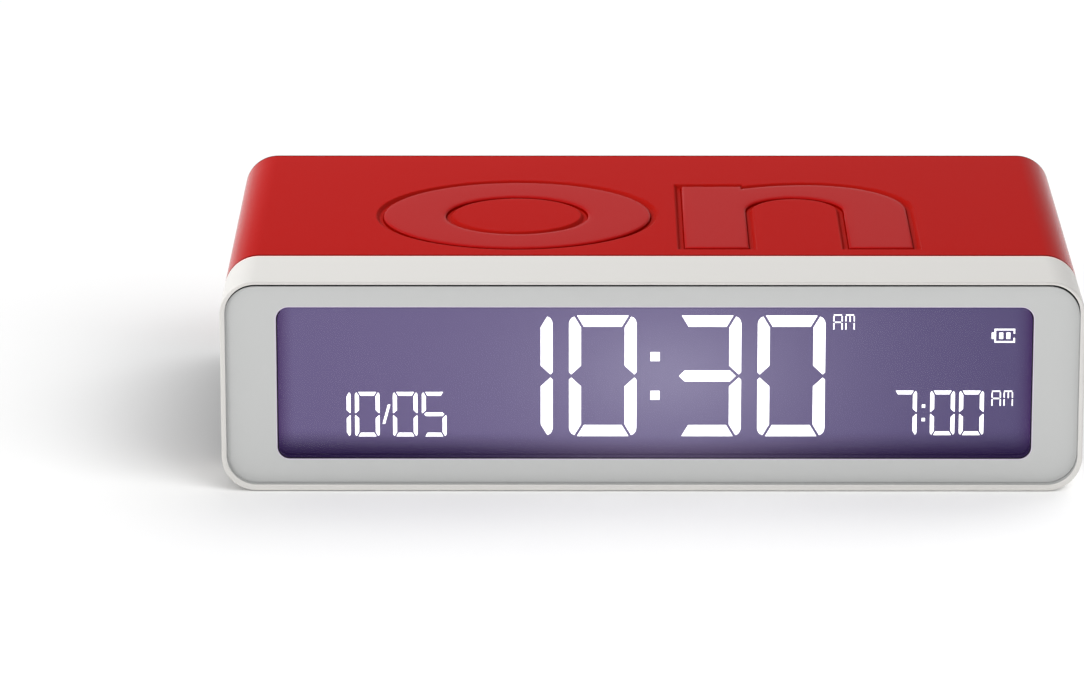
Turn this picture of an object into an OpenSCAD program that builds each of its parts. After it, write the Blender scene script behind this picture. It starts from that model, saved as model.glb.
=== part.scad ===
// Reversible bedside alarm clock: a flat slab that lies on either of its two wide faces.
// Millimetres. X runs along the width, -Y is the display side, +Z is up.
// The origin is the middle of the footprint, on the surface that the clock rests on.

/* [Body] */
// Overall width, side to side
body_w = 105; // [104:0.5:112]
// Overall depth, front lip to back edge
body_d = 62; // [61:0.5:72]
// Overall height, which is the thickness of the slab
body_h = 26.5; // [26.5:0.5:34]
// Radius of the four long edges
corner_r = 4.3; // [3.6:0.1:4.8]
// Depth of the pale band behind the front lip
band_d = 12; // [11.6:0.2:14]
// Wall thickness of the coloured sleeve
sleeve_wall = 1.6; // [1.3:0.05:1.6]
// Wall thickness of the pale band
band_wall = 1.8; // [1.6:0.05:1.9]
// Width of the line between the sleeve and the band
joint_gap = 0.1; // [0.05:0.05:0.3]
// Length of the sleeve's lap inside the band
lap_l = 2; // [1.4:0.1:2.2]
// Thickness of the sleeve's lap
lap_t = 0.7; // [0.5:0.05:0.8]
// Clearance between the lap and the band
lap_gap = 0.05; // [0.02:0.01:0.1]

/* [Front panel] */
// Thickness of the front lip
lip_t = 0.75; // [0.6:0.05:0.9]
// Depth of the panel's face behind the front lip
panel_recess = 1; // [0.6:0.1:1.2]
// Thickness of the front panel
panel_t = 1.6; // [1.4:0.1:1.8]
// Gap round the front panel
panel_gap = 0.1; // [0.05:0.05:0.2]
// Border between the body's side and the window
side_border = 6.5; // [6.3:0.1:7.5]
// Border between the body's upper or lower face and the window
edge_border = 3.65; // [3.45:0.05:4]
// Corner radius of the window
window_r = 1.5; // [1:0.1:2.5]
// Sideways offset of the window from the middle
window_x = 0.3; // [0:0.1:0.4]
// Height of the window's middle above the middle of the slab
window_z = 0.15; // [0:0.05:0.25]
// Gap between the clear window and the panel
window_gap = 0.04; // [0.02:0.01:0.08]
// Overlap of the window's flange behind the panel
flange_lap = 0.9; // [0.6:0.1:1]
// Thickness of the window's flange
flange_t = 0.8; // [0.6:0.1:0.9]

/* [Letters] */
// Width of the groove that draws the letters
groove_w = 0.8; // [0.5:0.1:1]
// Depth of the groove that draws the letters
groove_d = 0.4; // [0.2:0.05:0.6]
// Width of the round letter on the upper face
round_w = 34.4; // [33:0.2:35]
// Height of the round letter, measured along the depth of the slab
round_h = 32.7; // [31:0.2:33.4]
// Width of the opening in the round letter
bowl_w = 17.1; // [15:0.2:19]
// Height of the opening in the round letter
bowl_h = 17.3; // [15:0.2:18.6]
// Sideways place of the round letter's middle
round_x = -16.7; // [-18:0.1:-15.7]
// Middle of the letters in front of the slab's middle
word_y = 0.85; // [0:0.05:1.2]
// Left edge of the arched letter
arch_x = 3.8; // [3:0.1:5]
// Width of the arched letter
arch_w = 29.3; // [29:0.1:32]
// Width of the arched letter's upright
stem_w = 8.6; // [7:0.1:9]
// Thickness of the arch at its top
arch_t = 7.2; // [6:0.1:8]
// Width of each hooked letter on the underside
hook_w = 14.5; // [14:0.1:16]
// Size of the word on the underside beside the one on top
under_scale = 0.78; // [0.6:0.02:0.8]

/* [Display] */
// Overlap of the display glass behind the window's sides
glass_lap = 0.8; // [0.6:0.1:0.9]
// Gap between the band's inside and the parts stacked in it
stack_gap = 0.3; // [0.2:0.05:0.4]
// Thickness of each display glass
glass_t = 0.6; // [0.5:0.1:0.7]
// Thickness of each polarising film
film_t = 0.2; // [0.15:0.05:0.2]
// Height of the contact ledge under the rear glass
ledge_h = 1.4; // [1.2:0.1:1.5]
// Thickness of the soft seal between window and display
seal_t = 0.2; // [0.15:0.05:0.3]
// Depth of the white light box behind the display
box_d = 2.9; // [2.6:0.1:3.2]
// Wall thickness of the light box
box_wall = 0.6; // [0.5:0.1:0.7]
// Thickness of the diffuser plate
diffuser_t = 1.2; // [1:0.1:1.4]
// Number of lamps behind the diffuser
lamp_n = 5; // [3:1:6]

/* [Digits] */
// Height of the large digits
time_h = 15.5; // [14:0.1:15.8]
// Width of a large digit
time_w = 8.4; // [7.6:0.1:8.6]
// Distance from one large digit to the next
time_pitch = 10.24; // [9.8:0.02:10.4]
// Stroke of the large digits
time_t = 1.62; // [1.4:0.02:1.8]
// Gap between two segments of a large digit
time_gap = 0.19; // [0.1:0.01:0.24]
// Height of the small digits
note_h = 5.8; // [5:0.1:6.2]
// Width of a small digit
note_w = 3.14; // [2.8:0.02:3.4]
// Stroke of the small digits
note_t = 0.62; // [0.5:0.02:0.7]
// Gap between two segments of a small digit
note_gap = 0.08; // [0.05:0.01:0.12]

/* [Electronics] */
// Thickness of the circuit boards
board_t = 1.6; // [1:0.1:1.8]
// Shaft diameter of the screws that hold the main board
board_screw_d = 1.7; // [1.4:0.1:1.8]
// Diameter of the sounder's case
sounder_d = 9.6; // [8.6:0.1:12]
// Height of the sounder's case
sounder_h = 5; // [4:0.2:6]
// Ball diameter in the tilt switch
ball_d = 3.2; // [2.4:0.1:3.4]
// Free travel of the ball in the tilt switch
ball_travel = 2.2; // [1:0.1:2.6]
// Clearance round the ball in the tilt switch
ball_gap = 0.3; // [0.2:0.05:0.4]

/* [Back] */
// Depth of the rear panel's face inside the sleeve
rear_recess = 0.8; // [0.7:0.05:1.1]
// Thickness of the rear panel
rear_t = 1.6; // [1.5:0.1:2]
// Gap round the rear panel
rear_gap = 0.1; // [0.05:0.05:0.2]
// Shaft diameter of the screws at the back
rear_screw_d = 2; // [1.6:0.1:2.1]
// Length of the screws at the back
rear_screw_l = 8; // [6:0.5:9]
// Number of small holes for the sound
hole_n = 6; // [4:1:8]
// Diameter of each sound hole
hole_d = 1.2; // [0.8:0.1:1.4]

/* [Batteries] */
// Diameter of one cell
cell_d = 10.5; // [9.8:0.1:10.5]
// Length of one cell, with its raised end
cell_l = 44.5; // [43:0.5:45]
// Room that a squeezed contact spring takes
spring_l = 3.2; // [3:0.1:4]
// Wire diameter of the contact springs
spring_wire = 0.45; // [0.35:0.05:0.5]
// Number of curls in each contact spring
spring_curls = 3; // [2:1:3]
// Thickness of the contact plates
contact_t = 0.4; // [0.3:0.05:0.5]
// Wall thickness of the battery bay
bay_wall = 1; // [0.8:0.1:1.1]
// Thickness of the battery door
door_t = 1.4; // [1.2:0.1:1.4]
// Gap round the battery door
door_gap = 0.2; // [0.15:0.05:0.3]

/* [Buttons] */
// Diameter of a button cap
cap_d = 6.4; // [5:0.1:6.6]
// Height that a button cap stands out of the rear panel
cap_out = 0.6; // [0.3:0.05:0.65]
// Travel of a button when it is pressed
cap_travel = 0.5; // [0.2:0.05:0.55]
// Clearance round a button cap
cap_gap = 0.1; // [0.05:0.01:0.12]
// Distance between two buttons, both ways
cap_pitch = 10; // [9:0.1:10.4]
// Side of a push switch's square body
switch_side = 6; // [5:0.1:6.2]
// Height of a push switch's body
switch_h = 3.4; // [3:0.1:3.6]

/* [Hidden] */
$fn = 64;
// Small overlap that lets a cutter pass through a face
cut = 0.5;
mid_z = body_h / 2;
front_y = -body_d / 2;
back_y = body_d / 2;
joint_y = front_y + band_d;

// Inner faces of the sleeve and the band, and the lap between them
sleeve_in_w = body_w - 2 * sleeve_wall;
sleeve_in_h = body_h - 2 * sleeve_wall;
sleeve_in_r = corner_r - sleeve_wall;
band_in_w = body_w - 2 * band_wall;
band_in_h = body_h - 2 * band_wall;
band_in_r = corner_r - band_wall;
band_in_x = band_in_w / 2;
lap_inset = sleeve_wall - lap_t;
ridge_w = 9;
ridge_x = 30;
ridge_l = 0.6;
ridge_t = 0.22;
ridge_y = joint_y - lap_l / 2;

// Front panel and window
window_w = body_w - 2 * side_border;
window_h = body_h - 2 * edge_border;
pocket_w = body_w - 2 * lip_t;
pocket_h = body_h - 2 * lip_t;
pocket_r = corner_r - lip_t;
panel_y = front_y + panel_recess;
panel_back_y = panel_y + panel_t;
window_mid_z = mid_z + window_z;
flange_back_y = panel_back_y + flange_t;

// Display stack, from the window backwards
glass_w = window_w + 2 * glass_lap;
glass_h = band_in_h - 2 * stack_gap;
seal_back_y = flange_back_y + seal_t;
front_glass_y = seal_back_y + film_t;
rear_glass_y = front_glass_y + glass_t;
rear_film_y = rear_glass_y + glass_t;
box_front_y = rear_film_y + film_t;
board_y = box_front_y + box_d;
board_back_y = board_y + board_t;
glass_low = mid_z - glass_h / 2;
glass_high = mid_z + glass_h / 2;
rear_glass_h = glass_h - ledge_h;
rear_glass_z = glass_high - rear_glass_h / 2;
ledge_gap = 0.1;
box_w = glass_w;
box_h = rear_glass_h - ledge_gap;
box_z = glass_high - box_h / 2;
seg_t = 0.06;
seal_w = 0.7;

// Main board and its posts in the band
board_w = band_in_w - 2 * stack_gap;
board_h = band_in_h - 2 * stack_gap;
post_r = 1.7;
post_inset = 1.6;
post_rise = 3.25;
post_x = band_in_x - post_inset;
post_dz = band_in_h / 2 - post_rise;
post_bite = 0.4;
screw_clear = 0.05;
board_screw_l = 5.5;
board_head_r = board_screw_d * 0.88;
board_head_h = 1;

// Rear panel
rear_y = back_y - rear_recess;
rear_in_y = rear_y - rear_t;
rear_w = sleeve_in_w - 2 * rear_gap;
rear_h = sleeve_in_h - 2 * rear_gap;
rear_r = sleeve_in_r - rear_gap;
sleeve_in_x = sleeve_in_w / 2;
boss_r = 2;
boss_inset = 2.3;
boss_x = sleeve_in_x - boss_inset;
boss_rise = 3.45;
boss_dz = sleeve_in_h / 2 - boss_rise;
boss_l = 10;
boss_bite = 0.4;
shelf_gap = 0.3;
shelf_dz = boss_dz - boss_r - shelf_gap;
shelf_inset = 1;
rear_head_r = 1.55;
rear_head_h = 0.8;
head_clear = 0.1;

// Battery bay behind the rear panel
bay_play = 0.2;
bay_l = cell_l + spring_l + 2 * contact_t;
strip_w = 4.9;
bay_x0 = -sleeve_in_x + strip_w + bay_wall;
bay_x1 = bay_x0 + bay_l;
floor_t = 1.2;
floor_lap_l = 0.5;
floor_lap_r = 1.6;
floor_y1 = rear_in_y;
floor_y0 = floor_y1 - floor_t;
cell_r = cell_d / 2;
cell_y = floor_y1 - bay_play - cell_r;
bay_in_y = cell_y - cell_r - bay_play;
bay_out_y = bay_in_y - bay_wall;
bay_in_h = 2 * cell_d + 2 * bay_play;
bay_side = bay_wall - rear_gap;
cell_dz = cell_r + bay_play / 2;
cell_nub_l = 0.9;
cell_nub_r = 1.9;
plate_side = 8;
plate_rise = 3.2;
plate_top_y = cell_y + plate_rise;

// Battery door, its recess and the tongues that it turns on
door_lap = 1;
hinge_room = 0.6;
recess_x0 = bay_x0 - door_lap;
recess_x1 = bay_x1 + door_lap + hinge_room;
door_x0 = recess_x0 + door_gap;
door_x1 = recess_x1 - door_gap;
door_h = sleeve_in_h - 2 * door_gap;
door_in_y = rear_y - door_t;
tongue_rise = 4.25;
tongue_dz = sleeve_in_h / 2 - tongue_rise;
tongue_w = 4;
tongue_reach = 1.3;
tongue_drop = 1.5;
tongue_leg = 0.8;
tongue_gap = 0.25;
slot_side = 0.4;
slot_floor_gap = 0.3;
slot_end_gap = 0.2;
slot_reach_gap = 0.5;
sweep_r = norm([tongue_reach, rear_y - door_in_y + tongue_drop]);
slot_y0 = rear_y - sweep_r - slot_floor_gap;
slot_x0 = door_x1 - sweep_r - slot_end_gap;
slot_x1 = door_x1 + tongue_reach + slot_reach_gap;
grip_w = 9;
grip_d = 1.6;
grip_h = 0.7;
grip_in = 2.6;
latch_w = 13;
latch_l = 6;
latch_slit = 0.7;

// Buttons, switches and their board
cap_dz = cap_pitch / 2;
cap_r = cap_d / 2;
cap_room = 1.6;
rim_over = 1;
rim_t = 0.8;
rim_gap = 0.2;
rim_r = cap_r + rim_over;
rim_y1 = rear_in_y - rim_gap;
rim_y0 = rim_y1 - rim_t;
caps_x = slot_x1 + cap_room + rim_r + cap_dz;
pusher_r = 1.2;
pusher_l = 1.4;
plunger_r = 1.7;
plunger_out = 1.2;
plunger_in = 0.8;
plunger_gap = 0.15;
plunger_floor_gap = 0.3;
plunger_y1 = rim_y0 - pusher_l;
switch_y1 = plunger_y1 - plunger_out;
switch_y0 = switch_y1 - switch_h;
small_board_t = 1.2;
small_board_y0 = switch_y0 - small_board_t;
stud_r = 1.8;
stud_rise = 2.95;
stud_dz = sleeve_in_h / 2 - stud_rise;
board_edge = 0.3;
small_board_w = cap_pitch + switch_side + 4 * board_edge;
small_board_h = 2 * stud_dz + 2 * stud_r + 2 * board_edge;
stud_screw_r = 0.8;
stud_screw_l = 5;
stud_head_r = 1.5;
stud_head_h = 1;
hole_clear = 0.15;

// Sounder, in a cuff midway between the buttons and the screws at the right
sounder_r = sounder_d / 2;
sounder_wall = 0.8;
cuff_t = 0.8;
cuff_gap = 0.05;
cuff_h = 3;
cuff_r = sounder_r + cuff_gap + cuff_t;
caps_end_x = caps_x + cap_dz + rim_r;
sounder_x = (caps_end_x + boss_x - boss_r) / 2;
sounder_y = rear_in_y - sounder_h;
hole_ring_r = 2.2;
disc_gap = 0.2;
disc_r = sounder_r - sounder_wall - disc_gap;
disc_t = 0.3;
disc_rise = 1.4;
disc_y = sounder_y + disc_rise;

// Tilt switch on the back of the main board
tilt_x = -30;
tilt_wall = 0.8;
tilt_r = ball_d / 2 + ball_gap;
tilt_side = 2 * tilt_r + 2 * tilt_wall;
ball_rest = 0.05;
tilt_in_h = ball_d + ball_travel + 2 * ball_rest;
tilt_h = tilt_in_h + tilt_wall;
tilt_z0 = mid_z - (tilt_h + tilt_wall) / 2;
tilt_y = board_back_y + tilt_side / 2;

// Wires between the bay or the sounder and the main board
wire_r = 0.5;
wire_hole_r = 0.6;
wire_rise = 1.5;
wire_out = 1;
wire_y = bay_in_y + wire_rise;
wire_apart = 2.4;
wire_in = 2;

// Ribbon between the boards
ribbon_w = 8;
ribbon_t = 0.5;
ribbon_x = caps_x;
ribbon_gap = 0.1;
socket_w = 10;
socket_h = 3.2;
socket_d = 2.4;
socket_floor = 0.8;

// Small parts on the main board
dome_r = 11;
dome_h = 1.5;
crystal_r = 1;
crystal_l = 6.2;
crystal_low = 4;
crystal_room = 0.9;
dome_foot_r = sqrt(pow(dome_r, 2) - pow(dome_r - dome_h, 2));
crystal_x = dome_foot_r + crystal_room + crystal_r;
capacitor_r = 2.5;
capacitor_h = 7;
capacitor_low = 5;
capacitor_apart = 7;
capacitor_inset = 11.9;
capacitor_x = board_w / 2 - capacitor_inset - capacitor_apart;
resistor_n = 6;
resistor_l = 2;
resistor_w = 1.2;
resistor_h = 0.5;
resistor_pitch = 3;
resistor_low = 7.4;
resistor_x = -21;

// Word on the faces
groove_half = groove_w / 2;
bowl_drop = 0.3;
bowl_x = round_x;
bowl_y = word_y - bowl_drop;
arch_short = 1.3;
arch_foot = 0.2;
arch_h = round_h - arch_short;
arch_y0 = word_y - round_h / 2 + arch_foot;
hook_rise = 11;
hook_arm = 4;
hook_bend = 2.6;
hook_gap = 1.8;

// A flat shape drawn in X and Z, made solid from y0 to y1
module along_y(y0, y1) {
  translate([0, y1, 0])
    rotate([90, 0, 0])
      linear_extrude(y1 - y0)
        children();
}

// A flat shape drawn in X and Y, made solid from z0 to z1
module along_z(z0, z1) {
  translate([0, 0, z0])
    linear_extrude(z1 - z0)
      children();
}

// Rectangle with round corners, centred on x and z
module round_rect(w, h, r, x, z) {
  translate([x, z]) {
    square([w - 2 * r, h], center = true);
    square([w, h - 2 * r], center = true);
    for (sx = [-1, 1], sz = [-1, 1])
      translate([sx * (w / 2 - r), sz * (h / 2 - r)])
        circle(r);
  }
}

module slab_shape(w, h, r) {
  round_rect(w, h, r, 0, mid_z);
}

// Cylinder whose axis runs along Y, from y0 to y1
module rod_y(r, y0, y1, x, z) {
  translate([x, y1, z])
    rotate([90, 0, 0])
      cylinder(r = r, h = y1 - y0);
}

// Box from its six limits
module block(x0, x1, y0, y1, z0, z1) {
  translate([x0, y0, z0])
    cube([x1 - x0, y1 - y0, z1 - z0]);
}

// Screw whose head faces +Y, with a cross cut in its head
module screw_y(x, z, head_y, head_r, head_h, shank_r, shank_l) {
  slot_w = head_r * 0.32;
  slot_l = head_r * 1.3;
  slot_d = head_h * 0.55;
  difference() {
    union() {
      rod_y(head_r, head_y - head_h, head_y, x, z);
      rod_y(shank_r, head_y - head_h - shank_l, head_y - head_h, x, z);
    }
    translate([x, head_y, z])
      cube([slot_l, 2 * slot_d, slot_w], center = true);
    translate([x, head_y, z])
      cube([slot_w, 2 * slot_d, slot_l], center = true);
  }
}

// Points of an oval about a middle, half sizes a and b, from angle t0 to t1
function oval(cx, cy, a, b, t0 = 0, t1 = 360, n = 72) = [
  for (i = [0 : n - (t1 - t0 >= 360 ? 1 : 0)])
    let (t = t0 + (t1 - t0) * i / n)
    [cx + a * cos(t), cy + b * sin(t)]
];

// Outline of the arched letter, grown by d on every side
function arch_outline(d) =
  let (
    x0 = arch_x - d,
    x1 = arch_x + stem_w + d,
    x3 = arch_x + arch_w + d,
    x2 = x3 - stem_w - 2 * d,
    y0 = arch_y0 - d,
    top = arch_y0 + arch_h,
    stem_y = top - 0.8 + d,
    a = arch_w * 0.435 + d,
    b = arch_h * 0.395 + d,
    cx = x3 - a,
    cy = top + d - b,
    in_a = (x2 - x1) / 2,
    in_cx = (x1 + x2) / 2,
    in_b = arch_h * 0.195 - d,
    in_cy = top - arch_t - d - in_b,
    t_notch = 180 - acos((cx - x1) / a)
  )
  concat(
    [[x0, y0], [x1, y0]],
    oval(in_cx, in_cy, -in_a, in_b, 0, 180, 24),
    [[x2, y0], [x3, y0]],
    oval(cx, cy, a, b, 0, t_notch, 36),
    [[x1, stem_y], [x0, stem_y]]
  );

// Outline of the hooked letter for the underside, its upright starting at x, grown by d
function hook_outline(x, d) =
  let (
    x1 = x + stem_w,
    bar_y = arch_y0 + arch_h,
    bar_t = arch_t * 0.85,
    top = bar_y + hook_rise,
    bend_x = x1 + hook_bend,
    bend_y = top - arch_t * 0.95 - hook_bend
  )
  concat(
    [[x - d, arch_y0 - d], [x1 + d, arch_y0 - d], [x1 + d, bar_y - bar_t - d]],
    [[x + hook_w + d, bar_y - bar_t - d], [x + hook_w + d, bar_y + d], [x1 + d, bar_y + d]],
    oval(bend_x, bend_y, d - hook_bend, hook_bend - d, 0, 90, 10),
    [[x + hook_w + d, bend_y + hook_bend - d], [x + hook_w + d, top + d]],
    oval(bend_x, bend_y, stem_w + hook_bend + d, top - bend_y + d, 90, 180, 20),
    [[x - d, bar_y + d], [x - hook_arm - d, bar_y + d]],
    [[x - hook_arm - d, bar_y - bar_t - d], [x - d, bar_y - bar_t - d]]
  );

// Closed groove between an outline grown and the same outline shrunk
module round_grooves() {
  difference() {
    polygon(oval(round_x, word_y, round_w / 2 + groove_half, round_h / 2 + groove_half));
    polygon(oval(round_x, word_y, round_w / 2 - groove_half, round_h / 2 - groove_half));
  }
  difference() {
    polygon(oval(bowl_x, bowl_y, bowl_w / 2 + groove_half, bowl_h / 2 + groove_half));
    polygon(oval(bowl_x, bowl_y, bowl_w / 2 - groove_half, bowl_h / 2 - groove_half));
  }
}

module arch_groove() {
  difference() {
    polygon(arch_outline(groove_half));
    polygon(arch_outline(-groove_half));
  }
}

module hook_groove(x) {
  difference() {
    polygon(hook_outline(x, groove_half));
    polygon(hook_outline(x, -groove_half));
  }
}

module upper_word() {
  round_grooves();
  arch_groove();
}

// The word underneath, centred and smaller so that its tall letters fit
module under_word() {
  round_end = round_x + round_w / 2;
  first_x = round_end + hook_gap + hook_arm;
  second_x = first_x + hook_w + hook_gap + hook_arm;
  word_x = (round_x - round_w / 2 + second_x + hook_w) / 2;
  tall_y = arch_y0 + (arch_h + hook_rise) / 2;
  translate([0, (joint_y + back_y) / 2])
    scale(under_scale)
      translate([-word_x, -tall_y]) {
        round_grooves();
        hook_groove(first_x);
        hook_groove(second_x);
      }
}

// Outer casing

module sleeve_boss(sx, sz) {
  bx = sx * boss_x;
  bz = mid_z + sz * boss_dz;
  rod_y(boss_r, rear_in_y - boss_l, rear_in_y, bx, bz);
  wall_x = sx * (sleeve_in_x + boss_bite);
  block(min(bx, wall_x), max(bx, wall_x), rear_in_y - boss_l, rear_in_y, bz - boss_r, bz + boss_r);
}

// Snap ridges on the flat faces of the lap, or the pockets for them when grown
module lap_ridges(grow) {
  for (sx = [-1, 1], sz = [-1, 1]) {
    face = mid_z + sz * (mid_z - lap_inset);
    low = face - (sz > 0 ? cut / 5 : ridge_t + grow);
    high = face + (sz > 0 ? ridge_t + grow : cut / 5);
    block(sx * ridge_x - ridge_w / 2 - grow, sx * ridge_x + ridge_w / 2 + grow,
          ridge_y - ridge_l / 2 - grow, ridge_y + ridge_l / 2 + grow, low, high);
  }
}

module body_sleeve() {
  color("firebrick")
    difference() {
      union() {
        difference() {
          union() {
            along_y(joint_y + joint_gap, back_y)
              slab_shape(body_w, body_h, corner_r);
            along_y(joint_y - lap_l, joint_y + 1)
              slab_shape(body_w - 2 * lap_inset, body_h - 2 * lap_inset, corner_r - lap_inset);
          }
          along_y(joint_y - lap_l - cut, back_y + cut)
            slab_shape(sleeve_in_w, sleeve_in_h, sleeve_in_r);
        }
        lap_ridges(0);
        for (sx = [-1, 1], sz = [-1, 1])
          sleeve_boss(sx, sz);
      }
      for (sx = [-1, 1], sz = [-1, 1])
        rod_y(rear_screw_d / 2 + screw_clear, rear_in_y - boss_l - cut, back_y,
              sx * boss_x, mid_z + sz * boss_dz);
      along_z(body_h - groove_d, body_h + cut)
        upper_word();
      mirror([1, 0, 0])
        along_z(-cut, groove_d)
          under_word();
    }
}

module band_post(sx, sz) {
  px = sx * post_x;
  pz = mid_z + sz * post_dz;
  wall_x = sx * (band_in_x + post_bite);
  rod_y(post_r, panel_back_y, board_y, px, pz);
  block(min(px, wall_x), max(px, wall_x), panel_back_y, board_y, pz - post_r, pz + post_r);
}

module front_band() {
  lap_out = lap_inset - lap_gap;
  color("whitesmoke")
    difference() {
      union() {
        difference() {
          along_y(front_y, joint_y)
            slab_shape(body_w, body_h, corner_r);
          along_y(front_y - cut, panel_back_y)
            slab_shape(pocket_w, pocket_h, pocket_r);
          along_y(panel_back_y - cut, joint_y + cut)
            slab_shape(band_in_w, band_in_h, band_in_r);
        }
        for (sx = [-1, 1], sz = [-1, 1])
          band_post(sx, sz);
      }
      along_y(joint_y - lap_l - lap_gap, joint_y + cut)
        slab_shape(body_w - 2 * lap_out, body_h - 2 * lap_out, corner_r - lap_out);
      lap_ridges(lap_gap);
      for (sx = [-1, 1], sz = [-1, 1])
        rod_y(board_screw_d / 2 + screw_clear, board_y - board_screw_l + board_t - cut,
              board_y + cut, sx * post_x, mid_z + sz * post_dz);
    }
}

module front_panel() {
  color("lightgray")
    along_y(panel_y, panel_back_y)
      difference() {
        slab_shape(pocket_w - 2 * panel_gap, pocket_h - 2 * panel_gap, pocket_r - panel_gap);
        round_rect(window_w, window_h, window_r, window_x, window_mid_z);
      }
}

module display_window() {
  color("lavender", 0.4) {
    along_y(panel_y + window_gap, panel_back_y)
      round_rect(window_w - 2 * window_gap, window_h - 2 * window_gap, window_r - window_gap,
                 window_x, window_mid_z);
    along_y(panel_back_y, flange_back_y)
      round_rect(window_w + 2 * flange_lap, window_h + 2 * flange_lap, window_r + flange_lap,
                 window_x, window_mid_z);
  }
}

// Display stack

module dust_seal() {
  color("dimgray")
    along_y(flange_back_y, seal_back_y)
      difference() {
        round_rect(window_w + 2 * seal_w, window_h + 2 * seal_w, window_r + seal_w,
                   window_x, window_mid_z);
        round_rect(window_w, window_h, window_r, window_x, window_mid_z);
      }
}

module glass_plate(y0, y1, h, z) {
  block(-glass_w / 2, glass_w / 2, y0, y1, z - h / 2, z + h / 2);
}

module front_polariser() {
  color("rebeccapurple")
    glass_plate(seal_back_y, front_glass_y, rear_glass_h, rear_glass_z);
}

module lcd_front_glass() {
  color("mediumpurple", 0.6)
    glass_plate(front_glass_y, rear_glass_y, glass_h, mid_z);
}

module lcd_rear_glass() {
  color("mediumpurple", 0.6)
    glass_plate(rear_glass_y, rear_film_y, rear_glass_h, rear_glass_z);
}

module rear_polariser() {
  color("rebeccapurple")
    glass_plate(rear_film_y, box_front_y, rear_glass_h, rear_glass_z);
}

// Digits

// Upright segment at the right edge x of a digit, upper half when up is 1 and lower when it is -1
function upright(x, mid, half, t, gap, side, up) =
  let (g = gap / 2)
  [for (p = [
    [-0.47 * t, half - 0.07 * t],
    [-0.22 * t, half - 0.2 * t],
    [-0.07 * t, half - 0.4 * t],
    [0, half - 0.66 * t],
    [0, 0.22 * t + g],
    [-0.22 * t, g],
    [-t, 0.74 * t + g],
    [-t, half - 0.97 * t]
  ]) [x + side * p[0], mid + up * p[1]]];

// Level segment at the top of a digit when up is 1, at its foot when up is -1
function level(x0, x1, mid, half, t, gap, up) =
  let (g = 1.16 * gap)
  [for (p = [
    [x0 + 0.43 * t + g, half],
    [x1 - 0.43 * t - g, half],
    [x1 - t - g, half - 0.97 * t],
    [x0 + t + g, half - 0.97 * t]
  ]) [p[0], mid + up * p[1]]];

// Middle segment, pointed at both ends
function middle(x0, x1, mid, t, gap) =
  let (h = 0.48 * t, a = x0 + 0.25 * t + 1.2 * gap, b = x1 - 0.25 * t - 1.2 * gap)
  [[a, mid], [a + h, mid + h], [b - h, mid + h], [b, mid], [b - h, mid - h], [a + h, mid - h]];

// A digit made of its lit segments: a top, b and c right, d foot, e and f left, g middle
module digit(lit, x0, mid, w, h, t, gap) {
  x1 = x0 + w;
  half = h / 2;
  if (search("a", lit) != [])
    polygon(level(x0, x1, mid, half, t, gap, 1));
  if (search("d", lit) != [])
    polygon(level(x0, x1, mid, half, t, gap, -1));
  if (search("g", lit) != [])
    polygon(middle(x0, x1, mid, t, gap));
  if (search("b", lit) != [])
    polygon(upright(x1, mid, half, t, gap, 1, 1));
  if (search("c", lit) != [])
    polygon(upright(x1, mid, half, t, gap, 1, -1));
  if (search("f", lit) != [])
    polygon(upright(x0, mid, half, t, gap, -1, 1));
  if (search("e", lit) != [])
    polygon(upright(x0, mid, half, t, gap, -1, -1));
}

module colon(x, mid, side, apart) {
  for (s = [-1, 1])
    translate([x, mid + s * apart / 2])
      square(side, center = true);
}

// Middles of the rows of digits, and where each row ends
time_rise = 0.29;
time_shift = 20.91;
time_mid = window_mid_z + time_rise;
time_right = window_x + time_shift;
time_colon_room = 2.52;
time_colon = 1.29;
time_colon_rise = 4.92;
date_drop = 4.6;
date_inset = 8.33;
date_mid = window_mid_z - date_drop;
date_left = window_x - window_w / 2 + date_inset;
date_slash_room = 1.5;
wake_rise = 0.2;
wake_inset = 5.66;
wake_mid = date_mid + wake_rise;
wake_right = window_x + window_w / 2 - wake_inset;
wake_colon = 0.54;
wake_colon_room = 1.5;
wake_colon_rise = 1.72;
note_space = 0.4;
note_pitch = note_w + note_space;

// The morning letters, the slash and the sign of the battery
mark_space = 0.8;
letter_w = 1.26;
letter_h = 2.08;
letter_t = 0.24;
letter_pitch = 1.52;
letter_bar = 0.78;
letter_stem = 1.08;
slash_t = 0.45;
slash_h = 2.58;
slash_lean = 0.69;
slash_space = 0.2;
battery_rise = 6.25;
battery_space = 1.06;
battery_w = 2.66;
battery_h = 1.86;
battery_t = 0.34;
battery_nub_w = 0.36;
battery_nub_h = 0.86;
battery_bar_w = 0.62;
battery_bar_h = 0.94;
battery_stub = 0.68;
battery_space_in = 0.23;

// The two morning letters, built from thin bars
module morning_mark(x0, top) {
  for (i = [0, 1])
    translate([x0 + i * letter_pitch, top - letter_h]) {
      square([letter_t, letter_h]);
      translate([letter_w - letter_t, 0])
        square([letter_t, letter_h]);
      translate([0, letter_h - letter_t])
        square([letter_w, letter_t]);
    }
  translate([x0, top - letter_h + letter_bar])
    square([letter_w, letter_t]);
  translate([x0 + letter_pitch + (letter_w - letter_t) / 2, top - letter_stem])
    square([letter_t, letter_stem]);
}

module battery_mark(x0, top) {
  translate([x0 - battery_nub_w, top - (battery_h + battery_nub_h) / 2])
    square([battery_nub_w + battery_t / 2, battery_nub_h]);
  translate([x0, top - battery_h])
    square([battery_t, battery_h]);
  for (z = [top - battery_t, top - battery_h])
    translate([x0, z])
      square([battery_w, battery_t]);
  for (z = [top - battery_stub, top - battery_h])
    translate([x0 + battery_w - battery_t, z])
      square([battery_t, battery_stub]);
  for (i = [0, 1])
    translate([x0 + battery_t + battery_space_in + i * (battery_bar_w + battery_space_in),
               top - (battery_h + battery_bar_h) / 2])
      square([battery_bar_w, battery_bar_h]);
}

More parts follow.
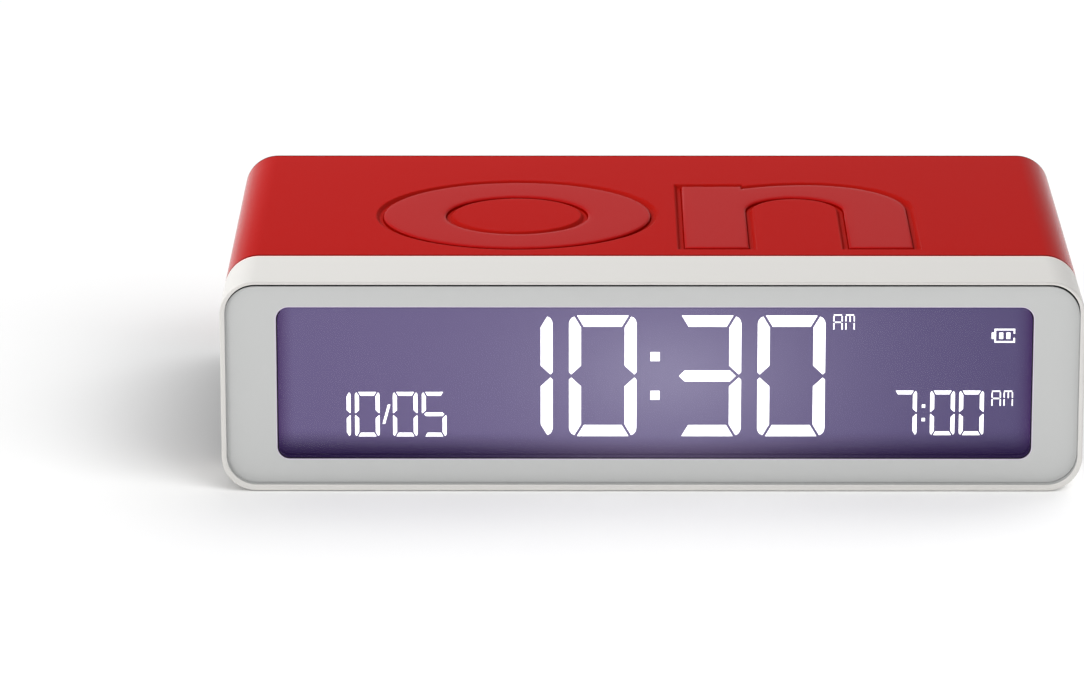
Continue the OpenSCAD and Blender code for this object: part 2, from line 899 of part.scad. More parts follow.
module slash_mark(x0, mid) {
  translate([x0, mid - slash_h / 2])
    polygon([[0, 0], [slash_t, 0], [slash_t + slash_lean, slash_h], [slash_lean, slash_h]]);
}

module time_digit(lit, x) {
  digit(lit, x, time_mid, time_w, time_h, time_t, time_gap);
}

module time_digits() {
  x4 = time_right - time_w;
  x3 = x4 - time_pitch;
  x2 = x3 - time_pitch - time_colon_room;
  time_digit("bc", x2 - time_pitch);
  time_digit("abcdef", x2);
  colon((x2 + time_w + x3) / 2, time_mid, time_colon, time_colon_rise);
  time_digit("abcdg", x3);
  time_digit("abcdef", x4);
  morning_mark(time_right + mark_space, time_mid + time_h / 2);
}

module note_digit(lit, x, mid) {
  digit(lit, x, mid, note_w, note_h, note_t, note_gap);
}

module date_digits() {
  x1 = date_left - note_w + note_t;
  x2 = x1 + note_pitch;
  x3 = x2 + note_w + date_slash_room;
  note_digit("bc", x1, date_mid);
  note_digit("abcdef", x2, date_mid);
  slash_mark(x2 + note_w + slash_space, date_mid);
  note_digit("abcdef", x3, date_mid);
  note_digit("acdfg", x3 + note_pitch, date_mid);
}

module wake_digits() {
  x3 = wake_right - note_w;
  x2 = x3 - note_pitch;
  x1 = x2 - note_w - wake_colon_room;
  note_digit("abc", x1, wake_mid);
  colon((x1 + note_w + x2) / 2, wake_mid, wake_colon, wake_colon_rise);
  note_digit("abcdef", x2, wake_mid);
  note_digit("abcdef", x3, wake_mid);
  morning_mark(wake_right + mark_space, wake_mid + note_h / 2);
  battery_mark(wake_right + battery_space, window_mid_z + battery_rise);
}

module lcd_segments() {
  color("white")
    along_y(seal_back_y - seg_t, seal_back_y) {
      time_digits();
      date_digits();
      wake_digits();
    }
}

// Light box, lamps and contact strip

diffuser_gap = 0.1;
diffuser_step = 0.4;
box_floor = 0.6;
lamp_w = 3.5;
lamp_h = 2.8;
lamp_t = 0.9;
lamp_gap = 0.2;
lamp_inset = 12.2;
lamp_span = box_w - 2 * lamp_inset;

module diffuser_plate() {
  inset = box_wall + diffuser_gap;
  color("ghostwhite")
    block(-box_w / 2 + inset, box_w / 2 - inset, box_front_y, box_front_y + diffuser_t,
          box_z - box_h / 2 + inset, box_z + box_h / 2 - inset);
}

function lamp_x(i) = -lamp_span / 2 + lamp_span * i / (lamp_n - 1);

module light_box() {
  inset = box_wall + diffuser_step;
  color("white")
    difference() {
      block(-box_w / 2, box_w / 2, box_front_y, board_y, box_z - box_h / 2, box_z + box_h / 2);
      block(-box_w / 2 + box_wall, box_w / 2 - box_wall, box_front_y - cut,
            box_front_y + diffuser_t, box_z - box_h / 2 + box_wall, box_z + box_h / 2 - box_wall);
      block(-box_w / 2 + inset, box_w / 2 - inset, box_front_y, board_y - box_floor,
            box_z - box_h / 2 + inset, box_z + box_h / 2 - inset);
      for (i = [0 : lamp_n - 1])
        block(lamp_x(i) - lamp_w / 2 - lamp_gap, lamp_x(i) + lamp_w / 2 + lamp_gap,
              board_y - box_floor - cut, board_y + cut,
              box_z - lamp_h / 2 - lamp_gap, box_z + lamp_h / 2 + lamp_gap);
    }
}

module backlight_lamps() {
  color("lemonchiffon")
    for (i = [0 : lamp_n - 1])
      block(lamp_x(i) - lamp_w / 2, lamp_x(i) + lamp_w / 2, board_y - lamp_t, board_y,
            box_z - lamp_h / 2, box_z + lamp_h / 2);
}

strip_inset = 1;

module contact_strip() {
  color("slategray")
    block(-glass_w / 2 + strip_inset, glass_w / 2 - strip_inset, rear_glass_y, board_y,
          glass_low + ledge_gap, glass_low + ledge_h - ledge_gap);
}

// Main board and what it carries

module main_board() {
  color("darkgreen")
    along_y(board_y, board_back_y)
      difference() {
        round_rect(board_w, board_h, band_in_r - stack_gap, 0, mid_z);
        for (sx = [-1, 1], sz = [-1, 1])
          translate([sx * post_x, mid_z + sz * post_dz])
            circle(board_screw_d / 2 + hole_clear);
      }
}

module board_screws() {
  color("silver")
    for (sx = [-1, 1], sz = [-1, 1])
      screw_y(sx * post_x, mid_z + sz * post_dz, board_back_y + board_head_h,
              board_head_r, board_head_h, board_screw_d / 2, board_screw_l);
}

module chip_cover() {
  color("black")
    intersection() {
      translate([0, board_back_y + dome_h - dome_r, mid_z])
        sphere(dome_r, $fn = 200);
      rod_y(dome_r, board_back_y, board_back_y + 2 * dome_h, 0, mid_z);
    }
}

module crystal_can() {
  color("silver")
    translate([crystal_x, board_back_y + crystal_r, mid_z - crystal_low])
      cylinder(r = crystal_r, h = crystal_l);
}

module board_capacitors() {
  color("midnightblue")
    for (i = [0, 1])
      rod_y(capacitor_r, board_back_y, board_back_y + capacitor_h,
            capacitor_x + i * capacitor_apart, mid_z - capacitor_low);
}

module board_resistors() {
  color("darkslategray")
    for (i = [0 : resistor_n - 1])
      translate([resistor_x + i * resistor_pitch, board_back_y + resistor_h / 2,
                 mid_z - resistor_low])
        cube([resistor_l, resistor_h, resistor_w], center = true);
}

// Socket that stands on a board at the origin and opens towards +Y
module ribbon_socket() {
  difference() {
    block(-socket_w / 2, socket_w / 2, 0, socket_d, -socket_h / 2, socket_h / 2);
    block(-ribbon_w / 2 - ribbon_gap, ribbon_w / 2 + ribbon_gap, socket_floor, socket_d + cut,
          -ribbon_t / 2 - ribbon_gap, ribbon_t / 2 + ribbon_gap);
  }
}

module ribbon_sockets() {
  color("ivory") {
    translate([ribbon_x, board_back_y, mid_z])
      ribbon_socket();
    translate([ribbon_x, small_board_y0, mid_z])
      mirror([0, 1, 0])
        ribbon_socket();
  }
}

module button_ribbon() {
  inset = socket_floor + ribbon_gap;
  color("lightgray")
    block(ribbon_x - ribbon_w / 2, ribbon_x + ribbon_w / 2, board_back_y + inset,
          small_board_y0 - inset, mid_z - ribbon_t / 2, mid_z + ribbon_t / 2);
}

module tilt_switch_cup() {
  color("dimgray")
    difference() {
      block(tilt_x - tilt_side / 2, tilt_x + tilt_side / 2, board_back_y,
            board_back_y + tilt_side, tilt_z0, tilt_z0 + tilt_h);
      translate([tilt_x, tilt_y, tilt_z0 + tilt_wall])
        cylinder(r = tilt_r, h = tilt_h);
    }
}

module tilt_switch_cap() {
  color("black")
    block(tilt_x - tilt_side / 2, tilt_x + tilt_side / 2, board_back_y,
          board_back_y + tilt_side, tilt_z0 + tilt_h, tilt_z0 + tilt_h + tilt_wall);
}

module tilt_ball() {
  color("gold")
    translate([tilt_x, tilt_y, tilt_z0 + tilt_wall + ball_rest + ball_d / 2])
      sphere(d = ball_d);
}

foil_w = 30;
foil_t = 0.15;
foil_inset = 2;
foil_tab_w = 4;
foil_tab_l = 2.4;

module touch_foil() {
  top_z = mid_z + band_in_h / 2;
  color("peru") {
    block(-foil_w / 2, foil_w / 2, panel_back_y + foil_inset, board_back_y + foil_t,
          top_z - foil_t, top_z);
    block(-foil_tab_w / 2, foil_tab_w / 2, board_back_y, board_back_y + foil_t,
          top_z - foil_tab_l, top_z - foil_t);
  }
}

// Rear panel with the battery bay moulded in one piece

module door_slot(sz) {
  z = mid_z + sz * tongue_dz;
  block(slot_x0, slot_x1, slot_y0, rear_in_y + cut / 2,
        z - tongue_w / 2 - slot_side, z + tongue_w / 2 + slot_side);
}

module bay_box() {
  block(bay_x0 - bay_wall, bay_x1 + bay_wall, bay_out_y, floor_y0,
        mid_z - bay_in_h / 2 - bay_side, mid_z + bay_in_h / 2 + bay_side);
}

module rear_panel() {
  color("brown")
    difference() {
      union() {
        along_y(rear_in_y, rear_y)
          difference() {
            slab_shape(rear_w, rear_h, rear_r);
            translate([recess_x0, 0])
              square([recess_x1 - recess_x0, body_h]);
          }
        block(recess_x0 - floor_lap_l, recess_x1 + floor_lap_r, floor_y0, floor_y1,
              mid_z - rear_h / 2, mid_z + rear_h / 2);
        block(-rear_w / 2 + shelf_inset, recess_x0, floor_y0, floor_y1,
              mid_z - shelf_dz, mid_z + shelf_dz);
        bay_box();
        for (sz = [-1, 1])
          rod_y(stud_r, switch_y0, rear_in_y, caps_x, mid_z + sz * stud_dz);
        rod_y(cuff_r, rear_in_y - cuff_h, rear_in_y, sounder_x, mid_z);
      }
      block(bay_x0, bay_x1, bay_in_y, floor_y1 + cut, mid_z - bay_in_h / 2, mid_z + bay_in_h / 2);
      for (sz = [-1, 1]) {
        door_slot(sz);
        run_x(wire_y, mid_z + sz * cell_dz, bay_x1 - cut, bay_x1 + bay_wall + cut, wire_hole_r);
      }
      for (sx = [-1, 1], sz = [-1, 1]) {
        rod_y(rear_screw_d / 2 + head_clear, rear_in_y - cut, rear_y + cut,
              sx * boss_x, mid_z + sz * boss_dz);
        rod_y(rear_head_r + head_clear, rear_y - rear_head_h, rear_y + cut,
              sx * boss_x, mid_z + sz * boss_dz);
      }
      for (sx = [-1, 1], sz = [-1, 1])
        rod_y(cap_r + cap_gap, rear_in_y - cut, rear_y + cut, caps_x + sx * cap_dz,
              mid_z + sz * cap_dz);
      for (sz = [-1, 1])
        rod_y(stud_screw_r + screw_clear, switch_y0 - cut, switch_y0 + stud_screw_l,
              caps_x, mid_z + sz * stud_dz);
      rod_y(sounder_r + cuff_gap, rear_in_y - cuff_h - cut, rear_in_y, sounder_x, mid_z);
      rod_y(hole_d / 2, rear_in_y - cut, rear_y + cut, sounder_x, mid_z);
      for (i = [0 : hole_n - 1])
        rod_y(hole_d / 2, rear_in_y - cut, rear_y + cut,
              sounder_x + hole_ring_r * cos(360 * i / hole_n),
              mid_z + hole_ring_r * sin(360 * i / hole_n));
    }
}

module rear_screws() {
  color("silver")
    for (sx = [-1, 1], sz = [-1, 1])
      screw_y(sx * boss_x, mid_z + sz * boss_dz, rear_y, rear_head_r, rear_head_h,
              rear_screw_d / 2, rear_screw_l);
}

module door_tongue(sz) {
  z = mid_z + sz * tongue_dz;
  block(door_x1 - tongue_leg, door_x1, door_in_y - tongue_drop, door_in_y,
        z - tongue_w / 2, z + tongue_w / 2);
  block(door_x1 - tongue_leg, door_x1 + tongue_reach, door_in_y - tongue_drop,
        rear_in_y - tongue_gap, z - tongue_w / 2, z + tongue_w / 2);
}

module battery_door() {
  color("brown")
    difference() {
      union() {
        block(door_x0, door_x1, door_in_y, rear_y, mid_z - door_h / 2, mid_z + door_h / 2);
        for (sz = [-1, 1])
          door_tongue(sz);
      }
      translate([door_x0 + grip_in, rear_y, mid_z])
        cube([grip_d, 2 * grip_h, grip_w], center = true);
      for (sz = [-1, 1])
        translate([door_x0, rear_y, mid_z + sz * latch_w / 2])
          cube([2 * latch_l, 4 * door_t, latch_slit], center = true);
    }
}

// Cells and their contacts

// One cell along X, its raised end towards +X when side is 1
module cell(side, z) {
  x0 = side > 0 ? bay_x1 - contact_t - cell_l : bay_x0 + contact_t;
  can_x = side > 0 ? x0 : x0 + cell_nub_l;
  translate([can_x, cell_y, z])
    rotate([0, 90, 0])
      cylinder(r = cell_r, h = cell_l - cell_nub_l);
  nub_x = side > 0 ? x0 + cell_l - cell_nub_l : x0;
  translate([nub_x, cell_y, z])
    rotate([0, 90, 0])
      cylinder(r = cell_nub_r, h = cell_nub_l);
}

module upper_cell() {
  color("darkgoldenrod")
    cell(1, mid_z + cell_dz);
}

module lower_cell() {
  color("darkgoldenrod")
    cell(-1, mid_z - cell_dz);
}

module bridge_plate() {
  color("silver")
    block(bay_x0, bay_x0 + contact_t, bay_in_y, plate_top_y,
          mid_z - cell_dz - plate_side / 2, mid_z + cell_dz + plate_side / 2);
}

module positive_plate() {
  color("silver")
    block(bay_x1 - contact_t, bay_x1, bay_in_y, plate_top_y,
          mid_z + cell_dz - plate_side / 2, mid_z + cell_dz + plate_side / 2);
}

module negative_plate() {
  color("silver")
    block(bay_x1 - contact_t, bay_x1, bay_in_y, plate_top_y,
          mid_z - cell_dz - plate_side / 2, mid_z - cell_dz + plate_side / 2);
}

// Contact spring: a narrowing coil of round wire along X
coil_steps = 8;
coil_sides = 6;
coil_wide = 2.7;
coil_tight = 1.9;

function coil_point(u) =
  let (
    r = coil_wide + (coil_tight - coil_wide) * u,
    a = 360 * spring_curls * u,
    run = spring_l - spring_wire
  )
  [spring_wire / 2 + run * u, r * cos(a), r * sin(a)];

coil_n = coil_steps * spring_curls;
coil_path = [for (i = [0 : coil_n]) coil_point(i / coil_n)];

function unit(v) = v / norm(v);

// Ring of points round the wire at step i of the path
function coil_ring(i) =
  let (
    p = coil_path[i],
    a = coil_path[max(i - 1, 0)],
    b = coil_path[min(i + 1, coil_n)],
    dir = unit(b - a),
    out = unit(cross(dir, [1, 0, 0])),
    up = cross(dir, out)
  )
  [for (k = [0 : coil_sides - 1])
    let (t = 360 * k / coil_sides)
    p + spring_wire / 2 * (cos(t) * out + sin(t) * up)];

coil_points = [for (i = [0 : coil_n]) each coil_ring(i)];

function coil_face(i, k) =
  let (
    a = i * coil_sides + k,
    b = i * coil_sides + (k + 1) % coil_sides
  )
  [[a, b, b + coil_sides], [a, b + coil_sides, a + coil_sides]];

coil_faces = concat(
  [for (i = [0 : coil_n - 1], k = [0 : coil_sides - 1]) each coil_face(i, k)],
  [for (k = [1 : coil_sides - 2]) [0, k + 1, k]],
  [for (k = [1 : coil_sides - 2])
    [coil_n * coil_sides, coil_n * coil_sides + k, coil_n * coil_sides + k + 1]]
);

// Least gap between points of the wire that lie half a curl or more apart
coil_gap = min([
  for (i = [0 : coil_n], j = [0 : coil_n])
    if (j - i >= coil_steps / 2)
      norm(coil_path[j] - coil_path[i])
]) - spring_wire;
echo(coil_gap = coil_gap);

module coil() {
  polyhedron(coil_points, coil_faces);
}

module contact_springs() {
  color("silver") {
    translate([bay_x0 + contact_t, cell_y, mid_z + cell_dz])
      coil();
    translate([bay_x1 - contact_t, cell_y, mid_z - cell_dz])
      rotate([0, 0, 180])
        coil();
  }
}

// Wires, drawn as straight runs with round corners

module run_y(x, z, y0, y1, r) {
  rod_y(r, y0, y1, x, z);
}

module run_x(y, z, x0, x1, r) {
  translate([min(x0, x1), y, z])
    rotate([0, 90, 0])
      cylinder(r = r, h = abs(x1 - x0));
}

module bend_at(x, y, z, r) {
  translate([x, y, z])
    sphere(r);
}

// From a contact plate through the bay's wall, then forward to the board
module power_wire(z) {
  bend_x = bay_x1 + bay_wall + wire_out;
  run_x(wire_y, z, bay_x1, bend_x, wire_r);
  bend_at(bend_x, wire_y, z, wire_r);
  run_y(bend_x, z, board_back_y, wire_y, wire_r);
}

module power_wires() {
  color("crimson")
    for (s = [-1, 1])
      power_wire(mid_z + s * cell_dz);
}

module sounder_wires() {
  color("black")
    for (s = [-1, 1])
      run_y(sounder_x - wire_in, mid_z + s * wire_apart / 2, board_back_y, sounder_y, wire_r);
}

module sounder_case() {
  color("black")
    difference() {
      rod_y(sounder_r, sounder_y, rear_in_y, sounder_x, mid_z);
      rod_y(sounder_r - sounder_wall, sounder_y + sounder_wall, rear_in_y - sounder_wall,
            sounder_x, mid_z);
      rod_y(hole_ring_r + hole_d, rear_in_y - 2 * sounder_wall, rear_in_y + cut,
            sounder_x, mid_z);
    }
}

module sounder_disc() {
  color("gold")
    rod_y(disc_r, disc_y, disc_y + disc_t, sounder_x, mid_z);
}

// Buttons

module button_board() {
  color("darkgreen")
    along_y(small_board_y0, switch_y0)
      difference() {
        translate([caps_x - small_board_w / 2, mid_z - small_board_h / 2])
          square([small_board_w, small_board_h]);
        for (sz = [-1, 1])
          translate([caps_x, mid_z + sz * stud_dz])
            circle(stud_screw_r + hole_clear);
      }
}

module button_board_screws() {
  color("silver")
    for (sz = [-1, 1])
      translate([caps_x, small_board_y0, mid_z + sz * stud_dz])
        mirror([0, 1, 0])
          screw_y(0, 0, stud_head_h, stud_head_r, stud_head_h, stud_screw_r, stud_screw_l);
}

module push_switches() {
  color("darkgray")
    for (sx = [-1, 1], sz = [-1, 1])
      difference() {
        block(caps_x + sx * cap_dz - switch_side / 2, caps_x + sx * cap_dz + switch_side / 2,
              switch_y0, switch_y1,
              mid_z + sz * cap_dz - switch_side / 2, mid_z + sz * cap_dz + switch_side / 2);
        rod_y(plunger_r + plunger_gap, switch_y1 - plunger_in - cap_travel - plunger_floor_gap,
              switch_y1 + cut, caps_x + sx * cap_dz, mid_z + sz * cap_dz);
      }
}

module cap(x, z) {
  rod_y(cap_r, rim_y1, rear_y + cap_out, x, z);
  rod_y(rim_r, rim_y0, rim_y1, x, z);
  rod_y(pusher_r, plunger_y1, rim_y0, x, z);
}

module plunger(sx, sz) {
  rod_y(plunger_r, switch_y1 - plunger_in, plunger_y1, caps_x + sx * cap_dz,
        mid_z + sz * cap_dz);
}

mark_d = 0.3;
mark_l = 2.6;
mark_t = 0.5;

// A shallow mark cut in the face of a cap: a bar, a cross, or a small dial
module cap_bar(x, z, w, h) {
  translate([x, rear_y + cap_out, z])
    cube([w, 2 * mark_d, h], center = true);
}

module cap_ring(x, z) {
  difference() {
    rod_y(mark_l / 2, rear_y + cap_out - mark_d, rear_y + cap_out + cut, x, z);
    rod_y(mark_l / 2 - mark_t * 0.7, rear_y + cap_out - 2 * mark_d,
          rear_y + cap_out + 2 * cut, x, z);
  }
}

module time_button() {
  x = caps_x + cap_dz;
  z = mid_z + cap_dz;
  color("gainsboro")
    difference() {
      cap(x, z);
      cap_ring(x, z);
    }
}

module alarm_button() {
  x = caps_x - cap_dz;
  z = mid_z + cap_dz;
  color("gainsboro")
    difference() {
      cap(x, z);
      rod_y(mark_t, rear_y + cap_out - mark_d, rear_y + cap_out + cut, x, z);
    }
}

module plus_button() {
  x = caps_x - cap_dz;
  z = mid_z - cap_dz;
  color("gainsboro")
    difference() {
      cap(x, z);
      cap_bar(x, z, mark_l, mark_t);
      cap_bar(x, z, mark_t, mark_l);
    }
}

module minus_button() {
  x = caps_x + cap_dz;
  z = mid_z - cap_dz;
  color("gainsboro")
    difference() {
      cap(x, z);
      cap_bar(x, z, mark_l, mark_t);
    }
}

module time_plunger() {
  color("black")
    plunger(1, 1);
}

module alarm_plunger() {
  color("black")
    plunger(-1, 1);
}

module plus_plunger() {
  color("black")
    plunger(-1, -1);
}

module minus_plunger() {
  color("black")
    plunger(1, -1);
}

body_sleeve();
front_band();
front_panel();
display_window();
dust_seal();
front_polariser();
lcd_front_glass();
lcd_rear_glass();
rear_polariser();
lcd_segments();
diffuser_plate();
light_box();
backlight_lamps();
contact_strip();
main_board();
chip_cover();
crystal_can();
board_capacitors();
board_resistors();
board_screws();
ribbon_sockets();
button_ribbon();
tilt_switch_cup();
tilt_switch_cap();
tilt_ball();
touch_foil();
rear_panel();
rear_screws();
battery_door();
upper_cell();
lower_cell();
contact_springs();
bridge_plate();
positive_plate();
negative_plate();
power_wires();
sounder_case();
sounder_disc();
sounder_wires();
button_board();
button_board_screws();
push_switches();
time_button();
alarm_button();
plus_button();
minus_button();
time_plunger();
alarm_plunger();
plus_plunger();
minus_plunger();
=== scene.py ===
import math

import bmesh
import bpy
import numpy as np
from mathutils import Matrix, Vector
from mathutils.geometry import delaunay_2d_cdt


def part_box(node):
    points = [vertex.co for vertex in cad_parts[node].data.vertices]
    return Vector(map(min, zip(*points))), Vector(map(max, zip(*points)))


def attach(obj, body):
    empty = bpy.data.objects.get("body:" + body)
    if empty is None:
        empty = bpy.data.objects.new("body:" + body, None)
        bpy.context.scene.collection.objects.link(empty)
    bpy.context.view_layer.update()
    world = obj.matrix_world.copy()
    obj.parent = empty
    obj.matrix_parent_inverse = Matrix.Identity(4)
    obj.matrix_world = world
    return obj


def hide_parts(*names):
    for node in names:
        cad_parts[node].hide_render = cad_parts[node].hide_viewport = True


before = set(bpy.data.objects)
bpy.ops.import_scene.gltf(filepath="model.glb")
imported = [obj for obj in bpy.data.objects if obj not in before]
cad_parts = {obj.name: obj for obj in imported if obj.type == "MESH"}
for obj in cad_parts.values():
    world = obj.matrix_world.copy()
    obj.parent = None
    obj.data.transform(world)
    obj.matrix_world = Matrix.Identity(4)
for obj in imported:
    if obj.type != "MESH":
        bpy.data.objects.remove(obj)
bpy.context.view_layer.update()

# Lengths below are in millimetres, and become metres when a piece's mesh is made
MM = 0.001


def corners(node):
    """Lowest and highest corner of a CAD node, in millimetres."""
    low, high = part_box(node)
    return np.array(low) / MM, np.array(high) / MM


# Sizes read from the frame
band_low, band_high = corners("front_band")
sleeve_low, sleeve_high = corners("body_sleeve")
panel_low, panel_high = corners("front_panel")
window_low, window_high = corners("display_window")
body_w = band_high[0] - band_low[0]
body_h = band_high[2] - band_low[2]
mid_z = (band_high[2] + band_low[2]) / 2
front_y = band_low[1]
joint_y = band_high[1]
back_y = sleeve_high[1]
rear_in_y = corners("sounder_case")[1][1]
panel_y = panel_low[1]
panel_back_y = panel_high[1]
lap_l = joint_y - sleeve_low[1]
board_y = corners("main_board")[0][1]

# Sizes that the frame doesn't give
corner_r = 4.3
sleeve_wall = 1.6
band_wall = 1.8
joint_gap = 0.06
# Widths of painted edge strips: painted shade on the red shell's front and rear edges, painted highlight on
# the band's rear edge
rim_w = 0.42
back_rim_w = 0.63
lap_t = 0.7
lap_gap = 0.05
lip_t = 0.6
lip_top_t = 0.38
lip_low_t = 0.79
window_x = 0.3
window_z = mid_z + 0.15
window_w = 92.0
window_h = 19.2
window_r = 1.5
window_gap = 0.04
flange_lap = 0.9
rear_head_r = 1.55
board_head_r = 1.5
arc_steps = 14
window_arc_steps = 10


# Outlines: each is a function of d that gives the same outline grown by d

def oval(cx, cy, a, b, start=0.0, end=360.0, n=144):
    """Points (cx + a cos t, cy + b sin t), with t from start to end in n equal steps of degrees.
    A full turn leaves out its last point, because it would repeat the first."""
    count = n if end - start >= 360 else n + 1
    t = np.radians(start + (end - start) * np.arange(count) / n)
    return np.column_stack((cx + a * np.cos(t), cy + b * np.sin(t)))


def circle_outline(x, z, r, n):
    """Circle of radius r about (x, z), with n points."""
    return lambda d: oval(x, z, r + d, r + d, n=n)


def slab_outline(w, h, r, x, z, steps=arc_steps):
    """Rectangle w by h about (x, z) with corners of radius r: four quarter arcs, the upper right first."""
    def grown(d):
        arcs = []
        for k, (sx, sz) in enumerate(((1, 1), (-1, 1), (-1, -1), (1, -1))):
            cx = x + sx * (w / 2 - r)
            cz = z + sz * (h / 2 - r)
            arcs.append(oval(cx, cz, r + d, r + d, 90 * k, 90 * k + 90, steps))
        return np.concatenate(arcs)

    return grown


body_outline = slab_outline(body_w, body_h, corner_r, 0, mid_z)
# The opening inside the lip, which is thin above, thicker beside and thickest below
lip_outline = slab_outline(body_w - 2 * lip_t, body_h - lip_low_t - lip_top_t, corner_r - lip_t,
                           0, mid_z + (lip_low_t - lip_top_t) / 2)
window_outline = slab_outline(window_w, window_h, window_r, window_x, window_z, window_arc_steps)


# Letters on the upper face and the underside
round_w, round_h, round_x = 34.4, 32.7, -16.7
bowl_w, bowl_h, bowl_drop = 17.1, 17.3, 0.3
word_y = 0.85
arch_x, arch_w, arch_t = 3.8, 29.0, 7.2
arch_h = round_h - 1.3
arch_y0 = word_y - round_h / 2 + 0.2
stem_w = 8.7
hook_w, hook_rise, hook_arm, hook_bend, hook_gap = 14.5, 11.0, 4.0, 2.6, 1.8
# Width, height, stroke and gap of the large digits and of the small ones
time_sizes = (8.4, 15.5, 1.62, 0.19)
note_sizes = (3.14, 5.8, 0.62, 0.08)
groove_w = 0.8
groove_d = 0.4
under_scale = 0.78


def round_outline(d):
    """Outer outline of the round letter."""
    return oval(round_x, word_y, round_w / 2 + d, round_h / 2 + d)


def bowl_outline(d):
    """Opening of the round letter."""
    return oval(round_x, word_y - bowl_drop, bowl_w / 2 + d, bowl_h / 2 + d)


def arch_outline(d):
    """Arched letter: an upright, a round arch that springs from it at a notch, and a second leg."""
    x0, x1, x3 = arch_x - d, arch_x + stem_w + d, arch_x + arch_w + d
    x2 = x3 - stem_w - 2 * d
    y0 = arch_y0 - d
    top = arch_y0 + arch_h
    a, b = arch_w * 0.435 + d, arch_h * 0.395 + d
    wide_a = 1.24 * a
    cx, cy = x3 - a, top + d - b
    in_a, in_b = (x2 - x1) / 2, arch_h * 0.195 - d
    in_cy = top - arch_t - d - in_b
    notch_x = arch_x + stem_w - 0.6 + 0.2 * d
    notch = 180 - math.degrees(math.acos((cx - notch_x) / wide_a))
    return np.concatenate((
        [[x0, y0], [x1, y0]],
        oval((x1 + x2) / 2, in_cy, -in_a, in_b, 0, 180, 48),
        [[x2, y0], [x3, y0]],
        oval(cx, cy, a, b, 0, 90, 36)[:-1],
        oval(cx, cy, wide_a, b, 90, notch, 36),
        [[notch_x, top - 0.8 + d], [x0, top - 0.8 + d]],
    ))


def hook_outline(x):
    """Hooked letter whose upright starts at x: a crossbar, and a round bend at the top."""
    def grown(d):
        x1 = x + stem_w
        bar_y = arch_y0 + arch_h
        low_y = bar_y - arch_t * 0.85 - d
        top = bar_y + hook_rise
        bend_x, bend_y = x1 + hook_bend, top - arch_t * 0.95 - hook_bend
        return np.concatenate((
            [[x - d, arch_y0 - d], [x1 + d, arch_y0 - d], [x1 + d, low_y]],
            [[x + hook_w + d, low_y], [x + hook_w + d, bar_y + d], [x1 + d, bar_y + d]],
            oval(bend_x, bend_y, d - hook_bend, hook_bend - d, 0, 90, 16),
            [[x + hook_w + d, bend_y + hook_bend - d], [x + hook_w + d, top + d]],
            oval(bend_x, bend_y, stem_w + hook_bend + d, top - bend_y + d, 90, 180, 32),
            [[x - d, bar_y + d], [x - hook_arm - d, bar_y + d]],
            [[x - hook_arm - d, low_y], [x - d, low_y]],
        ))

    return grown


def under_word():
    """Outlines of the word on the underside, centred, smaller and mirrored so that it reads from below."""
    first_x = round_x + round_w / 2 + hook_gap + hook_arm
    second_x = first_x + hook_w + hook_gap + hook_arm
    centre_x = (round_x - round_w / 2 + second_x + hook_w) / 2
    centre = np.array([centre_x, arch_y0 + (arch_h + hook_rise) / 2])
    place = np.array([0, (joint_y + back_y) / 2])
    mirror = np.array([-1, 1])

    def placed(outline):
        return lambda d: ((outline(d / under_scale) - centre) * under_scale + place) * mirror

    return [placed(f) for f in (round_outline, bowl_outline, hook_outline(first_x), hook_outline(second_x))]


# Surfaces

def rounded_path(points, closed=False, steps=5):
    """Corner points (a, b, radius) joined by straight lines. Each corner with a radius becomes the arc of
    that radius that touches both of its lines."""
    spots = [np.array(p[:2], float) for p in points]
    parts = []
    for i, (_, _, r) in enumerate(points):
        p = spots[i]
        if r == 0 or (not closed and i in (0, len(spots) - 1)):
            parts.append(p[None])
            continue
        before, after = spots[i - 1] - p, spots[(i + 1) % len(spots)] - p
        before /= np.linalg.norm(before)
        after /= np.linalg.norm(after)
        half = math.acos(np.clip(before @ after, -1, 1)) / 2
        run = r / math.tan(half)
        middle = before + after
        centre = p + middle / np.linalg.norm(middle) * r / math.sin(half)
        start, end = p + before * run - centre, p + after * run - centre
        t0 = math.atan2(start[1], start[0])
        turn = (math.atan2(end[1], end[0]) - t0 + math.pi) % (2 * math.pi) - math.pi
        t = t0 + turn * np.linspace(0, 1, steps + 1)
        parts.append(centre + r * np.column_stack((np.cos(t), np.sin(t))))
    return np.concatenate(parts)


def upright_place(points, level):
    """Outline points are (x, z), and the level is y."""
    return np.column_stack((points[:, 0], np.broadcast_to(level, len(points)), points[:, 1]))


def flat_place(points, level):
    """Outline points are (x, y), and the level is z."""
    return np.column_stack((points, np.broadcast_to(level, len(points))))


def grid_faces(rings, points, close_rings):
    """Quads between neighbouring rings of a grid, where each ring closes on itself."""
    i = np.arange(rings if close_rings else rings - 1)[:, None]
    j = np.arange(points)[None, :]
    i2, j2 = (i + 1) % rings, (j + 1) % points
    quads = (i * points + j, i * points + j2, i2 * points + j2, i2 * points + j)
    return np.stack(np.broadcast_arrays(*quads), -1).reshape(-1, 4)


def carried(outline, profile, place=upright_place, close=False):
    """A profile of (grown by, level) carried round an outline: ring k is the outline grown by the profile's
    k-th distance, set at its k-th level."""
    rings = [place(outline(d), level) for d, level in profile]
    return np.concatenate(rings), grid_faces(len(rings), len(rings[0]), close)


def lofted(rings, close=False):
    """Quads between neighbouring upright rings. A ring is (outline points, level), and all have the same
    count of points."""
    verts = np.concatenate([upright_place(points, level) for points, level in rings])
    return verts, grid_faces(len(rings), len(rings[0][0]), close)


def numbered(patch, numbers):
    """A patch with a material number for each of its rings of faces."""
    points, faces = patch
    return points, faces, np.repeat(numbers, len(faces) // len(numbers))


